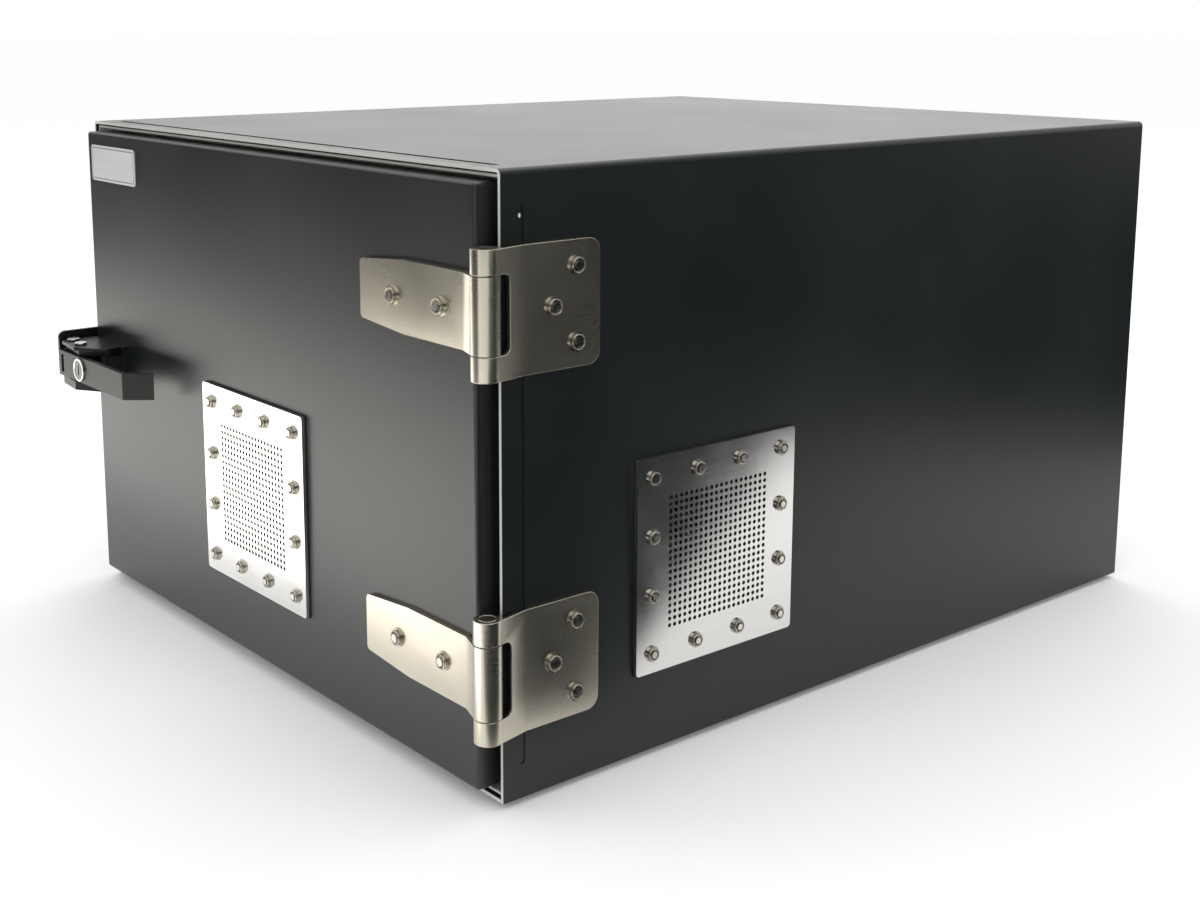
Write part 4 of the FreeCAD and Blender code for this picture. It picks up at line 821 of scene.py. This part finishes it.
# %% [markdown]
# ## Profiled foam
# Absorber foam is cut into pyramids on the side that faces the inside. One tree cuts a flat grid to
# the slab's outline, leaves out its window, raises it into a slab and lifts a pyramid over every
# square. The slab is drawn lying flat and is then turned into its place in the case.

# %% The foam tree
PYRAMID_PITCH = 24 * MM
PYRAMID_SHARE = 0.62


def foam_tree(material):
    """A slab with a window and a field of pyramids on its upper face."""
    tree = Tree("profiled_foam", length=0.5, width=0.5, thickness=0.025, pitch=PYRAMID_PITCH,
                columns=21, rows=21, share=PYRAMID_SHARE, window_x=0.0, window_y=0.0,
                window_length=0.0, window_width=0.0)
    length, width, thickness = (tree.given(label) for label in ("length", "width", "thickness"))
    columns, rows = tree.given("columns"), tree.given("rows")
    across, along = (tree.math("ADD", tree.math("MULTIPLY", count, 4.0), 1.0)
                     for count in (columns, rows))
    grid = tree.add("GeometryNodeMeshGrid", {}, length, width, across, along)
    where = tree.add("GeometryNodeInputPosition", {})
    x, y = (tree.add("ShaderNodeSeparateXYZ", {}, where, out=axis) for axis in "XY")

    def inside(value, centre, span):
        away = tree.math("ABSOLUTE", tree.math("SUBTRACT", value, tree.given(centre)))
        return tree.math("LESS_THAN", away, tree.math("MULTIPLY", tree.given(span), 0.5))

    window = tree.math("MULTIPLY", inside(x, "window_x", "window_length"),
                       inside(y, "window_y", "window_width"))
    sheet = tree.add("GeometryNodeDeleteGeometry", {"domain": "FACE"}, grid, window)

    base = tree.math("MULTIPLY", thickness, tree.math("SUBTRACT", 1.0, tree.given("share")))
    raise_by = tree.add("ShaderNodeCombineXYZ", {}, 0.0, 0.0, base)
    extrude = tree.add("GeometryNodeExtrudeMesh", {"mode": "FACES"}, sheet, None, raise_by, 1.0, False)
    top = extrude.node.outputs["Top"]

    def tent(value, span, count):
        """A value that climbs from 0 at each edge of a square to 1 in its middle."""
        step = tree.math("DIVIDE", span, count)
        shifted = tree.math("ADD", value, tree.math("MULTIPLY", span, 0.5))
        share = tree.math("FRACT", tree.math("DIVIDE", shifted, step))
        away = tree.math("ABSOLUTE", tree.math("SUBTRACT", share, 0.5))
        return tree.math("SUBTRACT", 1.0, tree.math("MULTIPLY", away, 2.0))

    peak = tree.math("MINIMUM", tent(x, length, columns), tent(y, width, rows))
    lift = tree.math("MULTIPLY", peak, tree.math("MULTIPLY", thickness, tree.given("share")))
    pyramids = tree.add("GeometryNodeSetPosition", {}, extrude, top, None,
                        tree.add("ShaderNodeCombineXYZ", {}, 0.0, 0.0, lift))
    underside = tree.add("GeometryNodeFlipFaces", {}, sheet)
    both = tree.add("GeometryNodeJoinGeometry", {}, pyramids)
    tree.group.links.new(underside, both.node.inputs[0])
    closed = tree.add("GeometryNodeMergeByDistance", {}, both, Distance=0.01 * MM)
    return tree.finish(closed, material)


print("pyramids of", round(PYRAMID_PITCH / MM), "mm, share of the thickness:", PYRAMID_SHARE)

# %% [markdown]
# ## Foam in its place
# Each slab is drawn flat, with its points up, and is then turned so that up is the direction that
# its part faces. A slab in front of a vent or of the ports has a window that follows their size.

# %% Lay the foam
FOAM_THINNING = 0.99
FOAM_UP = {
    "floor_foam": (0, 0, 1), "roof_foam": (0, 0, -1), "left_foam": (1, 0, 0),
    "right_foam": (-1, 0, 0), "rear_foam": (0, -1, 0), "door_foam": (0, 1, 0),
}
FOAM_WINDOWS = {"right_foam": ("side_vent_plate", 10 * MM), "rear_foam": ("port_plate", 10 * MM),
                "door_foam": ("door_vent_core", 0.6 * MM)}


def lay_foam(node, group):
    """Draw one slab of profiled foam where its part lies."""
    low, high = node_box(node)
    up = Vector(FOAM_UP[node])
    across = Vector((0, 1, 0)) if abs(up.x) > 0.5 else Vector((1, 0, 0))
    beside = up.cross(across)
    size = high - low
    spans = [abs(size.dot(way)) for way in (across, beside, up)]
    centre = (low + high) / 2 - up * spans[2] / 2
    columns, rows = (max(1, round(span / PYRAMID_PITCH)) for span in spans[:2])
    inputs = {"length": spans[0], "width": spans[1], "thickness": spans[2] * FOAM_THINNING,
              "columns": columns, "rows": rows}
    if node in FOAM_WINDOWS:
        behind, spare = FOAM_WINDOWS[node]
        window_low, window_high = node_box(behind)
        reach = (window_low + window_high) / 2 - centre
        inputs["window_x"], inputs["window_y"] = reach.dot(across), reach.dot(beside)
        inputs["window_length"] = abs((window_high - window_low).dot(across)) + spare
        inputs["window_width"] = abs((window_high - window_low).dot(beside)) + spare
    mesh = run_tree(group, point_mesh(node, []), node + "_cut", **inputs)
    turn = Matrix((across, beside, up)).transposed().to_4x4()
    mesh.transform(Matrix.Translation(centre) @ turn)
    piece = as_piece(node + "_cut", mesh, body_of(node), finishes["foam"])
    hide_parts(node)
    print(node, "foam, faces:", len(mesh.polygons))


profiled = foam_tree(finishes["foam"])
for node in FOAM_UP:
    lay_foam(node, profiled)

# %% [markdown]
# ## Stage
# The floor is one wide pale plane. Soft panels of light stand above and in front. Dark and light
# cards, which only reflections see, give the black paint and the steel something to mirror, so that
# the door fades from dark at its top to grey at its foot.

# %% Stage
def card(name, corners, colour, strength=0.0, glossy_only=False):
    """A flat stage card through its corners."""
    mesh = bpy.data.meshes.new(name)
    mesh.from_pydata([tuple(corner) for corner in corners], [], [tuple(range(len(corners)))])
    thing = bpy.data.objects.new(name, mesh)
    bpy.context.scene.collection.objects.link(thing)
    recipe = Recipe(name)
    mesh.materials.append(recipe.surface(Base_Color=colour, Roughness=0.9, Specular_IOR_Level=0.0,
                                         Emission_Color=colour, Emission_Strength=strength))
    if glossy_only:
        thing.visible_camera = False
        thing.visible_diffuse = False
        thing.visible_shadow = False
    return thing


def area_light(name, place, aim, size, power, colour=(1, 1, 1)):
    """A soft light panel that looks at a point."""
    light = bpy.data.lights.new(name, "AREA")
    light.shape = "RECTANGLE"
    light.size, light.size_y = size
    light.energy = power
    light.color = colour
    lamp = bpy.data.objects.new(name, light)
    lamp.location = place
    lamp.rotation_euler = (Vector(aim) - Vector(place)).to_track_quat("-Z", "Y").to_euler()
    bpy.context.scene.collection.objects.link(lamp)
    return lamp


def set_world(strength, colour):
    """Even light from all round."""
    world = bpy.data.worlds.new("studio")
    world.use_nodes = True
    background = world.node_tree.nodes["Background"]
    background.inputs["Color"].default_value = (*colour, 1)
    background.inputs["Strength"].default_value = strength
    bpy.context.scene.world = world


FLOOR_REACH = 30.0
floor_z = design_box[0][2]
card("floor", [(-FLOOR_REACH, -FLOOR_REACH, floor_z), (FLOOR_REACH, -FLOOR_REACH, floor_z),
               (FLOOR_REACH, FLOOR_REACH, floor_z), (-FLOOR_REACH, FLOOR_REACH, floor_z)],
     (0.92, 0.92, 0.92), strength=0.07)
low = floor_z + 2 * MM
BLACK = (0.010, 0.012, 0.012)
card("front_dark_floor", [(-9.0, -9.0, low), (0.2, -9.0, low), (0.2, -0.88, low), (-9.0, -0.88, low)],
     BLACK, glossy_only=True)
card("front_light_floor", [(-1.7, -0.87, low), (0.23, -0.87, low), (0.23, -0.42, low), (-1.7, -0.42, low)],
     (0.92, 0.90, 0.86), strength=1.6, glossy_only=True)
card("front_dark_wall", [(-6.0, -1.7, 0.0), (0.3, -2.6, 0.0), (0.3, -2.6, 2.2), (-6.0, -1.7, 2.2)],
     BLACK, glossy_only=True)
card("right_dark_wall", [(0.7, -2.6, 0.1), (3.2, -1.0, 0.1), (3.2, -1.0, 1.5), (0.7, -2.6, 1.5)],
     BLACK, glossy_only=True)
card("side_dark_floor", [(x, y, low) for x, y in (
    (0.33, -0.6), (9.0, -0.6), (9.0, 9.0), (0.25, 9.0), (0.25, 0.80), (0.28, 0.78), (0.50, 0.60),
    (0.70, 0.42), (0.44, 0.02), (0.33, -0.15))], BLACK, glossy_only=True)
card("side_dark_wall", [(1.2, 0.1, 0.0), (3.6, 3.8, 0.0), (3.6, 3.8, 2.6), (1.2, 0.1, 2.6)],
     BLACK, glossy_only=True)
card("back_light_wall", [(-3.4, 1.2, 0.3), (0.9, 3.4, 0.3), (0.9, 3.4, 1.6), (-3.4, 1.2, 1.6)],
     (1.0, 1.0, 0.98), strength=0.25, glossy_only=True)
set_world(1.0, (1.0, 1.0, 1.0))
area_light("top_panel", (-0.3, 0.6, 2.6), (0, 0, 0.2), (2.4, 2.4), 22)
area_light("front_panel", (-2.2, -2.4, 1.5), (-0.1, -0.3, 0.2), (1.4, 1.0), 14)
bpy.context.scene.view_settings.view_transform = "Standard"

# %% [markdown]
# ## Finish
